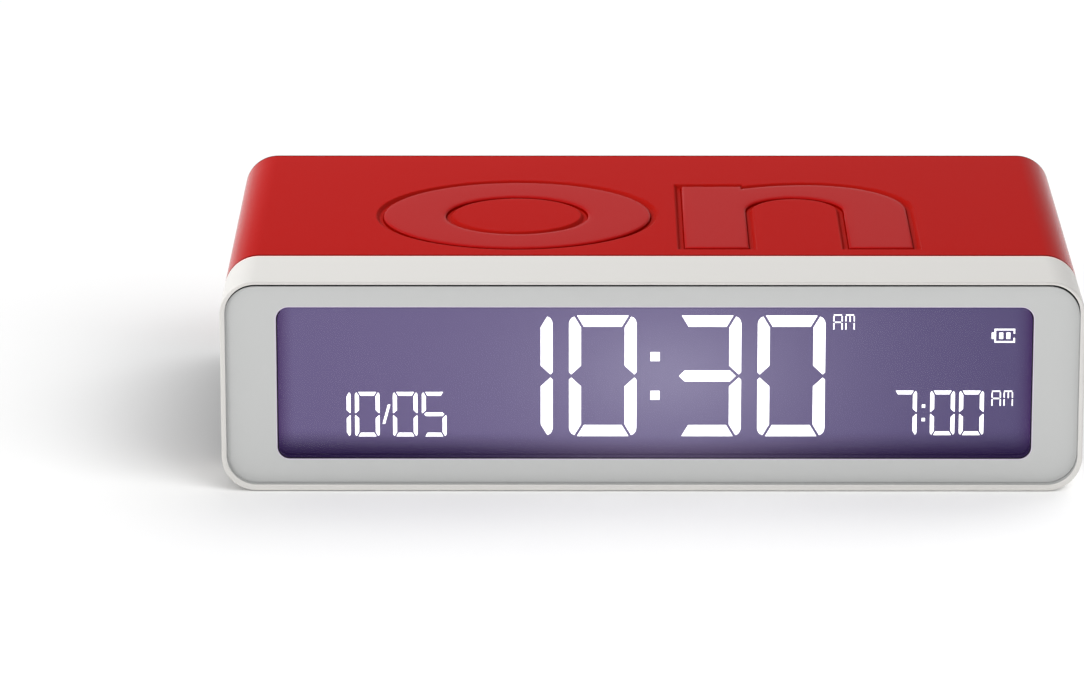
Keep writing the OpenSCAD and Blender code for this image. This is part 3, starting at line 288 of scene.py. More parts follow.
def inside(loop, points):
    """True for each point that an odd number of the loop's edges pass on its right."""
    a, b = loop, np.roll(loop, -1, axis=0)
    x, y = points[:, :1], points[:, 1:]
    spans = (a[:, 1] > y) != (b[:, 1] > y)
    rise = np.where(b[:, 1] == a[:, 1], 1, b[:, 1] - a[:, 1])
    crossing = a[:, 0] + (y - a[:, 1]) * (b[:, 0] - a[:, 0]) / rise
    return (spans & (x < crossing)).sum(1) % 2 == 1


def flat_fill(outer, holes, level, place=upright_place):
    """The flat region within an outer loop and outside its holes, as Delaunay triangles on the points of
    the loops."""
    loops = [outer, *holes]
    points = np.concatenate(loops)
    starts = np.cumsum([0] + [len(loop) for loop in loops])
    edges = np.concatenate([
        np.column_stack((s + np.arange(len(loop)), s + (np.arange(len(loop)) + 1) % len(loop)))
        for s, loop in zip(starts, loops)
    ])
    found, _, faces, origin, _, _ = delaunay_2d_cdt(
        [Vector(p) for p in points], edges.tolist(), [], 1, 1e-5
    )
    spots = np.array([points[o[0]] if o else np.array(v) for v, o in zip(found, origin)])
    faces = np.array(faces)
    middle = spots[faces].mean(1)
    keep = inside(outer, middle)
    for hole in holes:
        keep &= ~inside(hole, middle)
    return place(spots, level), faces[keep]


def joined(patches):
    """One vertex array and one list of faces from several patches, with each face's material number. A
    patch is (points, faces), or (points, faces, numbers) with one number for all faces or for each."""
    verts, faces, materials, start = [], [], [], 0
    for patch in patches:
        points, polygons = patch[:2]
        number = patch[2] if len(patch) > 2 else 0
        verts.append(points)
        faces += (np.asarray(polygons) + start).tolist()
        materials += np.broadcast_to(number, len(polygons)).tolist()
        start += len(points)
    return np.concatenate(verts), faces, materials


def in_scene(name, data):
    """A new object in the scene."""
    made = bpy.data.objects.new(name, data)
    bpy.context.scene.collection.objects.link(made)
    return made


def object_of(name, bm, materials):
    """An object of a bmesh and its materials."""
    mesh = bpy.data.meshes.new(name)
    bm.to_mesh(mesh)
    bm.free()
    for material in materials:
        mesh.materials.append(material)
    return in_scene(name, mesh)


def finish_piece(name, bm, materials, body, node, weighted, sharp):
    """Makes an object of a bmesh, with sharp edges past an angle in degrees, and ties it to the frame in
    the place of a CAD node."""
    piece = object_of(name, bm, materials)
    piece.data.shade_smooth()
    piece.data.set_sharp_from_angle(angle=math.radians(sharp))
    if weighted:
        modifier = piece.modifiers.new("even_shading", "WEIGHTED_NORMAL")
        modifier.keep_sharp = True
    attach(piece, body)
    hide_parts(node)
    return piece


def make_piece(name, node, patches, materials, weighted=True):
    """A piece of the housing from patches in millimetres. Points that meet are merged, and the faces are
    turned outwards."""
    verts, faces, numbers = joined(patches)
    raw = bpy.data.meshes.new(name + "_raw")
    raw.from_pydata((verts * MM).tolist(), [], faces)
    raw.polygons.foreach_set("material_index", numbers)
    bm = bmesh.new()
    bm.from_mesh(raw)
    bpy.data.meshes.remove(raw)
    bmesh.ops.remove_doubles(bm, verts=bm.verts, dist=2e-4 * MM)
    bmesh.ops.dissolve_degenerate(bm, edges=bm.edges, dist=1e-5 * MM)
    bmesh.ops.recalc_face_normals(bm, faces=bm.faces)
    return finish_piece(name, bm, materials, "housing", node, weighted, sharp=35)


def softened_copy(name, node, materials, body, width, steps=2):
    """A merged copy of a CAD node whose flat faces are whole again, with its sharp edges rounded."""
    sharp = 40
    flat_within = 0.5
    bm = bmesh.new()
    bm.from_mesh(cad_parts[node].data)
    bmesh.ops.remove_doubles(bm, verts=bm.verts, dist=1e-4 * MM)
    bmesh.ops.dissolve_limit(bm, angle_limit=math.radians(flat_within), verts=bm.verts, edges=bm.edges)
    piece = finish_piece(name, bm, materials, body, node, False, sharp)
    modifier = piece.modifiers.new("round_edges", "BEVEL")
    modifier.width = width * MM
    modifier.segments = steps
    modifier.limit_method = "ANGLE"
    modifier.angle_limit = math.radians(sharp)
    modifier.use_clamp_overlap = True
    modifier.harden_normals = True
    return piece


def shade_sunk_faces(piece, axes, reach, depth):
    """Gives the second material, a darker painted shade, to the faces that lie up to depth in front of the
    piece's rear face, within reach of one of the axes. An axis is (x, z)."""
    rear_face = 0.02
    polygons = piece.data.polygons
    centre = np.empty(3 * len(polygons))
    polygons.foreach_get("center", centre)
    centre = centre.reshape(-1, 3) / MM
    inwards = centre[:, 1].max() - centre[:, 1]
    away = np.min([np.hypot(centre[:, 0] - x, centre[:, 2] - z) for x, z in axes], axis=0)
    painted_shade_faces = (inwards > rear_face) & (inwards < depth) & (away < reach)
    polygons.foreach_set("material_index", painted_shade_faces.astype(np.int32))


# Shader helpers

def rgb(r, g, b):
    """A screen colour from 0 to 255 as the linear colour that a socket takes."""
    c = np.array([r, g, b]) / 255
    low, high = c / 12.92, ((c + 0.055) / 1.055) ** 2.4
    return (*np.where(c <= 0.04045, low, high).tolist(), 1.0)


def add(tree, kind, inputs=None, **settings):
    """Adds a shader node. An input is a value for its socket, or another node's output to join to it."""
    made = tree.nodes.new("ShaderNode" + kind)
    for name, value in settings.items():
        setattr(made, name, value)
    for name, value in (inputs or {}).items():
        socket = made.inputs[name]
        if isinstance(value, bpy.types.NodeSocket):
            tree.links.new(value, socket)
        else:
            socket.default_value = value
    return made


def calc(tree, operation, *values):
    """The result of a Math node on up to three values or outputs."""
    return add(tree, "Math", dict(enumerate(values)), operation=operation).outputs[0]


def ramp_step(tree, value, start, end):
    """A smooth step of a value: 0 at start and 1 at end."""
    made = add(tree, "MapRange", {"Value": value, "From Min": start, "From Max": end},
               interpolation_type="SMOOTHSTEP")
    return made.outputs["Result"]


def blend_colours(tree, share, a, b):
    """Colour a where share is 0 and colour b where it is 1."""
    made = add(tree, "Mix", {0: share, 6: a, 7: b}, data_type="RGBA")
    return made.outputs[2]


def new_group(name, inputs, outputs):
    """An empty shader node group with these named sockets, and its tree's input and output nodes."""
    group = bpy.data.node_groups.new(name, "ShaderNodeTree")
    for label, kind, value in inputs:
        socket = group.interface.new_socket(label, in_out="INPUT", socket_type="NodeSocket" + kind)
        socket.default_value = value
    for label, kind in outputs:
        group.interface.new_socket(label, in_out="OUTPUT", socket_type="NodeSocket" + kind)
    return group, group.nodes.new("NodeGroupInput"), group.nodes.new("NodeGroupOutput")


def place_group(tree, group, **inputs):
    """Puts a node group into a material with its own values."""
    made = tree.nodes.new("ShaderNodeGroup")
    made.node_tree = group
    for name, value in inputs.items():
        made.inputs[name.replace("_", " ")].default_value = value
    return made


def grained(group, height, distance):
    """The normal of a surface whose grain rises by a height of 0 to 1 times a distance in millimetres."""
    depth = calc(group, "MULTIPLY", distance, MM)
    return add(group, "Bump", {"Height": height, "Distance": depth, "Strength": 1.0}).outputs[0]


finish_outputs = [("Colour", "Color"), ("Roughness", "Float"), ("Normal", "Vector")]


def put_out(group, result, **values):
    """Joins values to the outputs of a node group."""
    for name, value in values.items():
        group.links.new(value, result.inputs[name])
    return group


def moulded_group():
    """Moulded plastic, rubber or film: a fine grain in the surface, and soft clouds in colour and gloss."""
    group, given, result = new_group(
        "moulded_finish",
        [("Colour", "Color", (0.5, 0.5, 0.5, 1)), ("Cloud", "Float", 0.04), ("Grain size", "Float", 0.3),
         ("Grain height", "Float", 0.002), ("Roughness", "Float", 0.4), ("Gloss drift", "Float", 0.06)],
        finish_outputs,
    )
    where = add(group, "TexCoord").outputs["Object"]
    fine_scale = calc(group, "DIVIDE", 1 / MM, given.outputs["Grain size"])
    fine = add(group, "TexNoise", {"Vector": where, "Scale": fine_scale, "Detail": 2.0, "Roughness": 0.6})
    soft = add(group, "TexNoise", {"Vector": where, "Scale": 45.0, "Detail": 3.0, "Roughness": 0.55})
    lift = calc(group, "SUBTRACT", soft.outputs[0], 0.5)
    shade = calc(group, "MULTIPLY_ADD", lift, given.outputs["Cloud"], 1.0)
    tint = add(group, "VectorMath", {0: given.outputs["Colour"], "Scale": shade}, operation="SCALE")
    rough = calc(group, "MULTIPLY_ADD", lift, given.outputs["Gloss drift"], given.outputs["Roughness"])
    normal = grained(group, fine.outputs[0], given.outputs["Grain height"])
    return put_out(group, result, Colour=tint.outputs[0], Roughness=rough, Normal=normal)


def metal_group():
    """Rolled or drawn metal: fine lines along X in gloss and height, and soft tarnish in colour."""
    group, given, result = new_group(
        "drawn_metal",
        [("Colour", "Color", (0.6, 0.6, 0.6, 1)), ("Tarnish", "Color", (0.3, 0.3, 0.3, 1)),
         ("Tarnish share", "Float", 0.2), ("Line height", "Float", 0.001), ("Roughness", "Float", 0.3)],
        finish_outputs,
    )
    where = add(group, "TexCoord").outputs["Object"]
    drawn = add(group, "Mapping", {"Vector": where, "Scale": (0.08, 1.0, 1.0)})
    lines = add(group, "TexNoise", {"Vector": drawn.outputs[0], "Scale": 6000.0, "Detail": 2.0})
    cloud = add(group, "TexNoise", {"Vector": where, "Scale": 220.0, "Detail": 4.0})
    share = calc(group, "MULTIPLY", ramp_step(group, cloud.outputs[0], 0.45, 0.75),
                 given.outputs["Tarnish share"])
    tint = blend_colours(group, share, given.outputs["Colour"], given.outputs["Tarnish"])
    spread = calc(group, "MULTIPLY_ADD", lines.outputs[0], 0.12, given.outputs["Roughness"])
    rough = calc(group, "MULTIPLY_ADD", share, 0.3, spread)
    normal = grained(group, lines.outputs[0], given.outputs["Line height"])
    return put_out(group, result, Colour=tint, Roughness=rough, Normal=normal)


def glow_group():
    """Light of the display by place: a soft peak of 1 / (1 + ((x - x0) / wide)^2 + ((z - z0) / high)^2)
    over a base that falls off to the right. Both are darker along the sides and in the lowest strip."""
    peak_x, peak_z, peak_wide, peak_high = 2.0, 13.8, 13.2, 8.0
    lit_peak, lit_left, lit_right = rgb(138, 131, 163), rgb(101, 89, 131), rgb(77, 67, 109)
    side_dark, low_dark, low_peak = rgb(58, 24, 82), rgb(34, 18, 60), rgb(84, 72, 100)
    group, _, result = new_group("display_glow", [], [("Colour", "Color")])
    where = add(group, "SeparateXYZ", {0: add(group, "TexCoord").outputs["Object"]})
    x = calc(group, "DIVIDE", where.outputs["X"], MM)
    z = calc(group, "DIVIDE", where.outputs["Z"], MM)
    across = calc(group, "DIVIDE", calc(group, "SUBTRACT", x, peak_x), peak_wide)
    up = calc(group, "DIVIDE", calc(group, "SUBTRACT", z, peak_z), peak_high)
    spread = calc(group, "MULTIPLY_ADD", across, across, calc(group, "MULTIPLY_ADD", up, up, 1.0))
    peak = calc(group, "DIVIDE", 1.0, spread)
    right = add(group, "MapRange", {"Value": x, "From Min": -5.0, "From Max": 46.0}).outputs["Result"]
    lit = blend_colours(group, peak, blend_colours(group, right, lit_left, lit_right), lit_peak)
    from_middle = calc(group, "ABSOLUTE", calc(group, "SUBTRACT", x, (window_low[0] + window_high[0]) / 2))
    from_side = calc(group, "SUBTRACT", (window_high[0] - window_low[0]) / 2 - flange_lap, from_middle)
    edged = blend_colours(group, ramp_step(group, from_side, -1.2, 2.2), side_dark, lit)
    dark = blend_colours(group, ramp_step(group, peak, 0.0, 0.5), low_dark, low_peak)
    low = ramp_step(group, calc(group, "MULTIPLY_ADD", peak, 1.4, z), 3.7, 7.3)
    return put_out(group, result, Colour=blend_colours(group, low, dark, edged))


moulded = moulded_group()
drawn = metal_group()
glow = glow_group()


def set_inputs(shader, values):
    """Sets sockets of a shader to plain values."""
    for socket, value in values.items():
        shader.inputs[socket].default_value = value


def new_material(name):
    """A material, its tree and its shader."""
    material = bpy.data.materials.new(name)
    material.use_nodes = True
    tree = material.node_tree
    return material, tree, tree.nodes["Principled BSDF"]


def surface(name, group, shader, **values):
    """A material whose colour, roughness and normal come from a node group, and whose other sockets are set
    on the shader itself."""
    material, tree, principled = new_material(name)
    finish = place_group(tree, group, **values)
    for output, socket in (("Colour", "Base Color"), ("Roughness", "Roughness"), ("Normal", "Normal")):
        tree.links.new(finish.outputs[output], principled.inputs[socket])
    set_inputs(principled, shader)
    return material


def plastic(name, colour, roughness, grain=0.3, height=0.002, level=0.5, cloud=0.04, **shader):
    """A moulded plastic, with the size and height of its grain in millimetres."""
    sockets = {"Specular IOR Level": level, **{k.replace("_", " "): v for k, v in shader.items()}}
    return surface(name, moulded, sockets, Colour=rgb(*colour), Roughness=roughness, Grain_size=grain,
                   Grain_height=height, Cloud=cloud)


def metal(name, colour, tarnish, roughness, share=0.25):
    """A bare or plated metal."""
    return surface(name, drawn, {"Metallic": 1.0}, Colour=rgb(*colour), Tarnish=rgb(*tarnish),
                   Tarnish_share=share, Roughness=roughness)


def glowing(name, base, strength, level=0.1):
    """A surface behind the window that gives off the display's own light."""
    material = plastic(name, base, 0.5, grain=0.4, height=0.0005, level=level, Emission_Strength=strength)
    tree = material.node_tree
    light = place_group(tree, glow).outputs["Colour"]
    tree.links.new(light, tree.nodes["Principled BSDF"].inputs["Emission Color"])
    return material


def red_plastic(name, colour, roughness, sheen, grazing=None):
    """A red plastic. Its index of refraction rises from the first to the second value of sheen where it is
    seen edge-on, so that round sides pick up a pale bloom. A grazing colour takes over at low angles: it is
    painted shade, a dark line along an edge. The light that it passes on is dimmed to a neutral grey, so
    that the pale floor and band stay without a red cast."""
    bounce_grey = (0.12, 0.12, 0.12, 1)
    material = plastic(name, colour, roughness, grain=0.25, height=0.0008, cloud=0.02)
    tree = material.node_tree
    principled = tree.nodes["Principled BSDF"]
    own = principled.inputs["Base Color"].links[0].from_socket
    facing = add(tree, "LayerWeight", {"Blend": 0.5}).outputs["Facing"]
    # The grazing colour is painted shade: it darkens the edge strips where they are seen at low angles
    if grazing:
        own = blend_colours(tree, ramp_step(tree, facing, 0.5, 0.7), own, rgb(*grazing))
    bounced = add(tree, "LightPath").outputs["Is Diffuse Ray"]
    mixed = blend_colours(tree, bounced, own, bounce_grey)
    tree.links.new(mixed, principled.inputs["Base Color"])
    share = ramp_step(tree, facing, 0.74, 0.97)
    index = calc(tree, "MULTIPLY_ADD", share, sheen[1] - sheen[0], sheen[0])
    tree.links.new(index, principled.inputs["IOR"])
    return material


red = red_plastic("red_shell", (182, 12, 6), 0.2, (1.027, 1.09))
red_letter = red_plastic("red_letter_face", (178, 18, 18), 0.2, (1.043, 1.055))
# Painted shade: dark red strips along the shell's front and rear edges, darker still at low angles
red_edge_painted_shade = red_plastic("red_edge_painted_shade", (170, 12, 6), 0.5, (1.0, 1.02), grazing=(84, 5, 3))
# Painted shade: a darker red on the letters' groove walls
red_wall_painted_shade = red_plastic("red_groove_wall_painted_shade", (140, 4, 0), 0.3, (1.0, 1.005))
red_floor = red_plastic("red_groove_floor", (176, 24, 18), 0.3, (1.02, 1.03))
white = plastic("white_band", (219, 217, 213), 0.42, grain=0.22, height=0.001, level=0.3, cloud=0.015)
# Painted highlight: a pale pink line along the band's rear edge, next to the red shell
white_painted_highlight = plastic("white_band_painted_highlight", (255, 226, 220), 0.4, grain=0.22, height=0.001, level=0.4, cloud=0.0)
# Painted shade: a slightly darker copy of the band's white for its front faces
white_lip_painted_shade = plastic("white_band_lip_painted_shade", (213, 211, 207), 0.42, grain=0.22, height=0.001, level=0.3, cloud=0.0)
grey = plastic("grey_frame", (194, 195, 194), 0.55, grain=0.16, height=0.002, level=0.2, cloud=0.015)
# Painted highlight: a pale lavender line on the rounding round the frame's opening
grey_painted_highlight = plastic("grey_frame_painted_highlight", (216, 207, 224), 0.5, grain=0.16, height=0.001, level=0.2, cloud=0.0)
back_red = plastic("back_cover_red", (166, 18, 14), 0.5, grain=0.18, height=0.004, level=0.12)
# Painted shade: dark grey on the frame's step and on the wall of its opening
gap_painted_shade = plastic("frame_side_painted_shade", (60, 60, 62), 0.7, level=0.1)
# Painted shade: grey in the keys' sunk marks
mark_painted_shade = plastic("mark_painted_shade", (112, 112, 116), 0.6, level=0.2)
button_plastic = plastic("button_plastic", (222, 221, 216), 0.45, grain=0.2, height=0.0015, level=0.35)
cell_film = plastic("cell_jacket_film", (62, 74, 92), 0.3, grain=0.5, height=0.001, cloud=0.05)
cell_band = plastic("cell_jacket_band", (196, 200, 204), 0.3, grain=0.5, height=0.001, cloud=0.03)
steel = metal("bright_steel", (214, 214, 210), (150, 146, 138), 0.22)
screw_steel = metal("screw_steel", (186, 186, 184), (110, 106, 100), 0.3)
# Painted shade: darker steel in the screws' recesses
recess_steel_painted_shade = metal("screw_recess_painted_shade", (72, 70, 66), (40, 38, 36), 0.5)
segments = plastic("lit_segments", (245, 245, 248), 0.5, level=0.1, Emission_Color=(1, 1, 1, 1),
                   Emission_Strength=1.0)
lens = plastic("clear_lens", (255, 255, 255), 0.03, grain=3.0, height=0.0002, cloud=0.0,
               Transmission_Weight=1.0, IOR=1.12)
mask = glowing("lens_rim_mask", (10, 4, 18), 0.85)
# Painted shade: a darker mask with little glow for the lens's soft edge beside and below
painted_shade_mask = glowing("lens_rim_dark_mask", (6, 3, 10), 0.1)


# Pieces

def screw_axes(node, head_r):
    """The axes (x, z) of four screws, from the box round their heads."""
    low, high = corners(node)
    low, high = low + head_r, high - head_r
    return [(x, z) for x in (low[0], high[0]) for z in (low[2], high[2])]


def screw_posts(node, head_r, r_out, r_in, y0, y1):
    """Bored posts along Y, one on each axis of a node's four screws."""
    wall = [(0, y0), (0, y1), (r_in - r_out, y1), (r_in - r_out, y0)]
    return [carried(circle_outline(x, z, r_out, 40), wall, close=True) for x, z in screw_axes(node, head_r)]


def groove_profile(level, sign, scale):
    """Across a groove, from the letter's side to the face's side: round shoulders, leaning walls and a flat
    floor with round corners. sign is 1 where the face looks up and -1 where it looks down. Also gives the
    material of each span: 1 letter face, 3 the letter's wall in a darker red that is painted shade, 4 floor
    and far wall, 0 the face."""
    half = groove_w / 2 * scale
    deep = level - sign * groove_d
    corners_across = [
        (-half - 1.0, level, 0),
        (-half + 0.02, level - sign * 0.04, 0.44),
        (-half + 0.1, deep, 0.05),
        (half - 0.24, deep, 0.06),
        (half + 0.1, level - sign * 0.01, 0.28),
        (half + 0.38, level, 0),
    ]
    path = rounded_path(corners_across)
    wall_start, floor_start, face_start = -half + 0.02, -half + 0.16, half + 0.25
    at = (path[1:, 0] + path[:-1, 0]) / 2
    return path, np.select([at < wall_start, at < floor_start, at > face_start], [1, 3, 0], 4)


def word_patches(word, level, sign, scale):
    """Grooves, letter faces and bowl of a word, which is a round letter, its bowl and the other letters.
    Also gives the outer edges of the grooves, where the face about the word begins."""
    round_letter, bowl, others = word[0], word[1], word[2:]
    profile, number = groove_profile(level, sign, scale)
    inner, outer = profile[0][0], profile[-1][0]
    patches = []
    for outline, side in ((round_letter, 1), *((f, 1) for f in others), (bowl, -1)):
        patches.append(numbered(carried(outline, profile * [side, 1], flat_place), number))
    patches.append((*flat_fill(round_letter(inner), [bowl(-inner)], level, flat_place), 1))
    patches.append((*flat_fill(bowl(-outer), [], level, flat_place), 0))
    for letter in others:
        patches.append((*flat_fill(letter(inner), [], level, flat_place), 1))
    return patches, [f(outer) for f in (round_letter, *others)]


def sleeve_patches():
    """The red shell: one closed profile carried round the slab's outline. The long flat of the upper face,
    and that of the lower face, give way to a flat that the grooves of a word are cut in. Posts for the rear
    screws stand inside."""
    joint_r, back_r, inner_r, lap_r = 0.12, 0.35, 0.2, 0.15
    post_l, post_r, bore_r = 10.0, 2.0, 1.05
    start_y = joint_y + joint_gap
    lap_inset = sleeve_wall - lap_t
    profile = rounded_path([
        (0, start_y, joint_r),
        (0, start_y + rim_w, 0),
        (0, back_y - back_rim_w, 0),
        (0, back_y, back_r),
        (-sleeve_wall, back_y, inner_r),
        (-sleeve_wall, joint_y - lap_l, 0),
        (-lap_inset, joint_y - lap_l, lap_r),
        (-lap_inset, start_y, 0),
    ], closed=True)
    verts, faces = carried(body_outline, profile, close=True)
    points_round = 4 * (arc_steps + 1)
    face_ring = int(np.argmax(np.diff(profile[:, 1])))
    flat_starts = (arc_steps, 3 * arc_steps + 2)
    dropped = [face_ring * points_round + k for k in flat_starts]
    middle_y = (profile[:, 1] + np.roll(profile[:, 1], -1)) / 2
    outside = np.abs(profile[:, 0]) < 0.3
    # Painted shade: the outer spans next to the joint and at the rear edge take the dark edge red
    rim = outside & ((middle_y < start_y + rim_w) | (middle_y > back_y - back_rim_w))
    numbers = np.repeat(np.where(rim, 2, 0), points_round)
    patches = [(verts, np.delete(faces, dropped, axis=0), np.delete(numbers, dropped))]
    half_w = body_w / 2 - corner_r
    y0, y1 = profile[face_ring, 1], profile[face_ring + 1, 1]
    border = np.array([[-half_w, y0], [half_w, y0], [half_w, y1], [-half_w, y1]])
    upper = [round_outline, bowl_outline, arch_outline]
    for word, level, sign, scale in ((upper, body_h, 1, 1.0), (under_word(), 0.0, -1, under_scale)):
        grooves, rims = word_patches(word, level, sign, scale)
        patches += grooves
        patches.append((*flat_fill(border, rims, level, flat_place), 0))
    return patches + screw_posts("rear_screws", rear_head_r, post_r, bore_r, rear_in_y - post_l, rear_in_y)


def band_patches():
    """The white band: a closed profile carried round the slab's outline, with the lip round the front, and
    posts for the main board's screws."""
    joint_r, front_r, lip_r, lip_slope, lip_drop = 0.08, 0.26, 0.06, 0.118, 0.07
    post_r, bore_r = 1.7, 0.9
    lap_room = sleeve_wall - lap_t - lap_gap
    skin = rounded_path([
        (-lap_room, joint_y, 0), (0, joint_y, joint_r), (0, joint_y - rim_w, 0), (0, front_y, front_r),
        (-front_r - 0.001, front_y, 0),
    ])
    lip = rounded_path([
        (-lip_slope, front_y, 0), (0, front_y + lip_drop, lip_r), (0, panel_back_y, 0),
    ])
    inside_skin = [
        (-band_wall, panel_back_y), (-band_wall, joint_y - lap_l - lap_gap),
        (-lap_room, joint_y - lap_l - lap_gap),
    ]
    rings = [(body_outline(d), y) for d, y in skin]
    rings += [(lip_outline(-d), y) for d, y in lip]
    rings += [(body_outline(d), y) for d, y in inside_skin]
    levels = np.array([y for _, y in rings])
    middle_y = (levels + np.roll(levels, -1)) / 2
    # Number 3 gives the band's front faces the darker white, painted shade
    numbers = np.where((middle_y < front_y + 0.2) & (np.arange(len(rings)) < len(skin)), 3, 0)
    # Number 1 is the painted highlight on the band's outer spans next to the joint
    numbers[:len(skin) - 1][(middle_y[:len(skin) - 1] > joint_y - rim_w) & (skin[1:, 0] > -0.12)] = 1
    # Number 2 gives the lip's inner wall the frame's grey, painted shade inside the lip
    numbers[len(skin) + len(lip) - 2] = 2
    posts = screw_posts("board_screws", board_head_r, post_r, bore_r, panel_back_y, board_y)
    return [numbered(lofted(rings, close=True), numbers), *posts]


def turned(x_and_r, y, z):
    """A profile of (x, radius) carried round an axis along X through (y, z). Radius 0 gives a pole."""
    def across_place(points, level):
        return np.column_stack((np.broadcast_to(level, len(points)), points))

    return carried(circle_outline(y, z, 0, 48), x_and_r[:, ::-1], across_place)


def cell_patches(node, side):
    """A dry cell: a steel can with a recessed flat end, a jacket drawn over both of its shoulders with two
    bands near the raised end, and a raised end with a soft edge. side is 1 where that end is towards +X."""
    low, high = corners(node)
    r = (high[2] - low[2]) / 2
    length = high[0] - low[0]
    raised_l, raised_r, lap, sunk, film = 0.9, 1.9, 1.0, 0.25, 0.12
    can_l = length - raised_l
    band_at = (0.78 * can_l, 0.8 * can_l, 0.83 * can_l)
    profile = rounded_path([
        (sunk, 0, 0), (sunk, r - lap - 0.6, 0.1), (film, r - lap - 0.4, 0.1), (film, r - lap, 0),
        (0, r - lap, 0.05), (0, r, 0.5), (band_at[0], r, 0), (band_at[1], r, 0), (band_at[2], r, 0),
        (can_l, r, 0.5), (can_l, r - lap, 0.05), (can_l - film, r - lap, 0),
        (can_l - film, raised_r + 0.5, 0.1), (can_l - sunk, raised_r, 0.1), (length, raised_r, 0.3),
        (length, 0, 0),
    ], steps=4)
    at, radius = ((profile[1:] + profile[:-1]) / 2).T
    banded = ((at > band_at[0]) & (at < band_at[1])) | (at > band_at[2])
    number = np.where(radius > r - lap, np.where(banded, 1, 0), 2)
    start = low[0] if side > 0 else high[0]
    _, axis_y, axis_z = (low + high) / 2
    return [numbered(turned(profile * [side, 1] + [start, 0], axis_y, axis_z), number)]


def panel_patches():
    """The grey frame: a face with a soft edge, a step round it that shows as a fine line inside the lip,
    and a round-cornered opening. The step and the opening's wall are dark grey, painted shade. over, under
    and beside are the gaps from the lip to the face."""
    over, under, beside, aside = 0.46, 0.01, -0.06, -0.06
    step_y, edge_r, hole_r, fit = 1.2, 0.08, 0.12, 0.02
    wide, high = body_w - 2 * lip_t - 2 * beside, body_h - lip_low_t - lip_top_t - over - under
    middle = mid_z + (lip_low_t - lip_top_t + under - over) / 2
    face = slab_outline(wide, high, corner_r - lip_t - beside, aside, middle)
    edge = rounded_path([(-1.2, panel_y, 0), (0, panel_y, edge_r), (0, panel_y + step_y, 0)])
    hole_edge = rounded_path([(0.5, panel_y, 0), (0, panel_y, hole_r), (0, panel_back_y, 0)])
    # Number 1, the rounding of the opening's edge, is painted highlight; number 2, its wall, is painted
    # shade
    rim = np.where(hole_edge[1:, 1] < panel_y + hole_r + 0.01, 1, 2)
    rim[0] = 0
    rings = [(face(d), level) for d, level in edge]
    rings += [(lip_outline(-fit), panel_y + step_y), (lip_outline(-fit), panel_back_y)]
    # The step's wall and the ledge behind it take the dark grey, painted shade
    sides = np.where(np.arange(len(rings) - 1) < len(edge) - 2, 0, 2)
    return [
        flat_fill(face(edge[0][0]), [window_outline(hole_edge[0][0])], panel_y),
        numbered(lofted(rings), sides),
        numbered(carried(window_outline, hole_edge), rim),
        flat_fill(lip_outline(-fit), [window_outline(0)], panel_back_y),
    ]


def window_patches():
    """The clear lens: a plug in the frame's opening with softened edges, and a flange behind the frame. Its
    rim is masked, and the soft edge is darker beside and below than above, which is painted shade."""
    edge_r = 0.12
    plug_y, flange_y = window_low[1], window_high[1]
    wide = flange_lap + window_gap
    side = rounded_path([
        (-0.6, plug_y, 0), (0, plug_y, edge_r), (0, panel_back_y, 0), (wide, panel_back_y, 0),
        (wide, flange_y, 0),
    ])
    soft_edge = side[1:-1, 1] < plug_y + edge_r - 0.01
    around = np.arange(len(window_outline(0)))
    above = (around >= window_arc_steps // 2) & (around <= 3 * window_arc_steps // 2)

    def outline(d):
        return window_outline(d - window_gap)

    return [
        flat_fill(outline(side[0][0]), [], plug_y),
        carried(outline, side[:2]),
        # Number 2, on the soft edge beside and below, is the painted shade
        (*carried(outline, side[1:]), np.where(soft_edge[:, None] & ~above, 2, 1).ravel()),
        flat_fill(outline(wide), [], flange_y),
    ]


# Lit marks of the display, as lists of polygons of (x, z)

def upright(x, middle, half, t, gap, side, up):
    """Upright bar at the edge x of a digit, above the middle where up is 1 and below it where it is -1."""
    g = gap / 2
    shape = np.array([
        [-0.47 * t, half - 0.07 * t], [-0.22 * t, half - 0.2 * t], [-0.07 * t, half - 0.4 * t],
        [0, half - 0.66 * t], [0, 0.22 * t + g], [-0.22 * t, g], [-t, 0.74 * t + g], [-t, half - 0.97 * t],
    ])
    return shape * [side, up] + [x, middle]


def level_bar(x0, x1, middle, half, t, gap, up):
    """Level bar at the top of a digit where up is 1, and at its foot where it is -1."""
    g = 1.16 * gap
    shape = np.array([
        [x0 + 0.43 * t + g, half], [x1 - 0.43 * t - g, half],
        [x1 - t - g, half - 0.97 * t], [x0 + t + g, half - 0.97 * t],
    ])
    return shape * [1, up] + [0, middle]


def middle_bar(x0, x1, middle, t, gap):
    """Bar across the middle of a digit, pointed at both ends."""
    h, a, b = 0.48 * t, x0 + 0.25 * t + 1.2 * gap, x1 - 0.25 * t - 1.2 * gap
    shape = np.array([[a, 0], [a + h, h], [b - h, h], [b, 0], [b - h, -h], [a + h, -h]])
    return shape + [0, middle]


def digit(lit, x0, middle, w, h, t, gap):
    """A digit made of its lit bars: a top, b and c right, d foot, e and f left, g middle."""
    x1, half = x0 + w, h / 2
    bars = {"g": middle_bar(x0, x1, middle, t, gap)}
    for name, up in (("a", 1), ("d", -1)):
        bars[name] = level_bar(x0, x1, middle, half, t, gap, up)
    for name, x, side, up in (("b", x1, 1, 1), ("c", x1, 1, -1), ("f", x0, -1, 1), ("e", x0, -1, -1)):
        bars[name] = upright(x, middle, half, t, gap, side, up)
    return [bars[name] for name in lit]


def box_mark(x0, z0, x1, z1):
    """A rectangle from its two corners."""
    return np.array([[x0, z0], [x1, z0], [x1, z1], [x0, z1]])


def colon(x, middle, side, apart):
    """Two squares, one above the other."""
    return [
        box_mark(x - side / 2, z - side / 2, x + side / 2, z + side / 2)
        for z in (middle - apart / 2, middle + apart / 2)
    ]


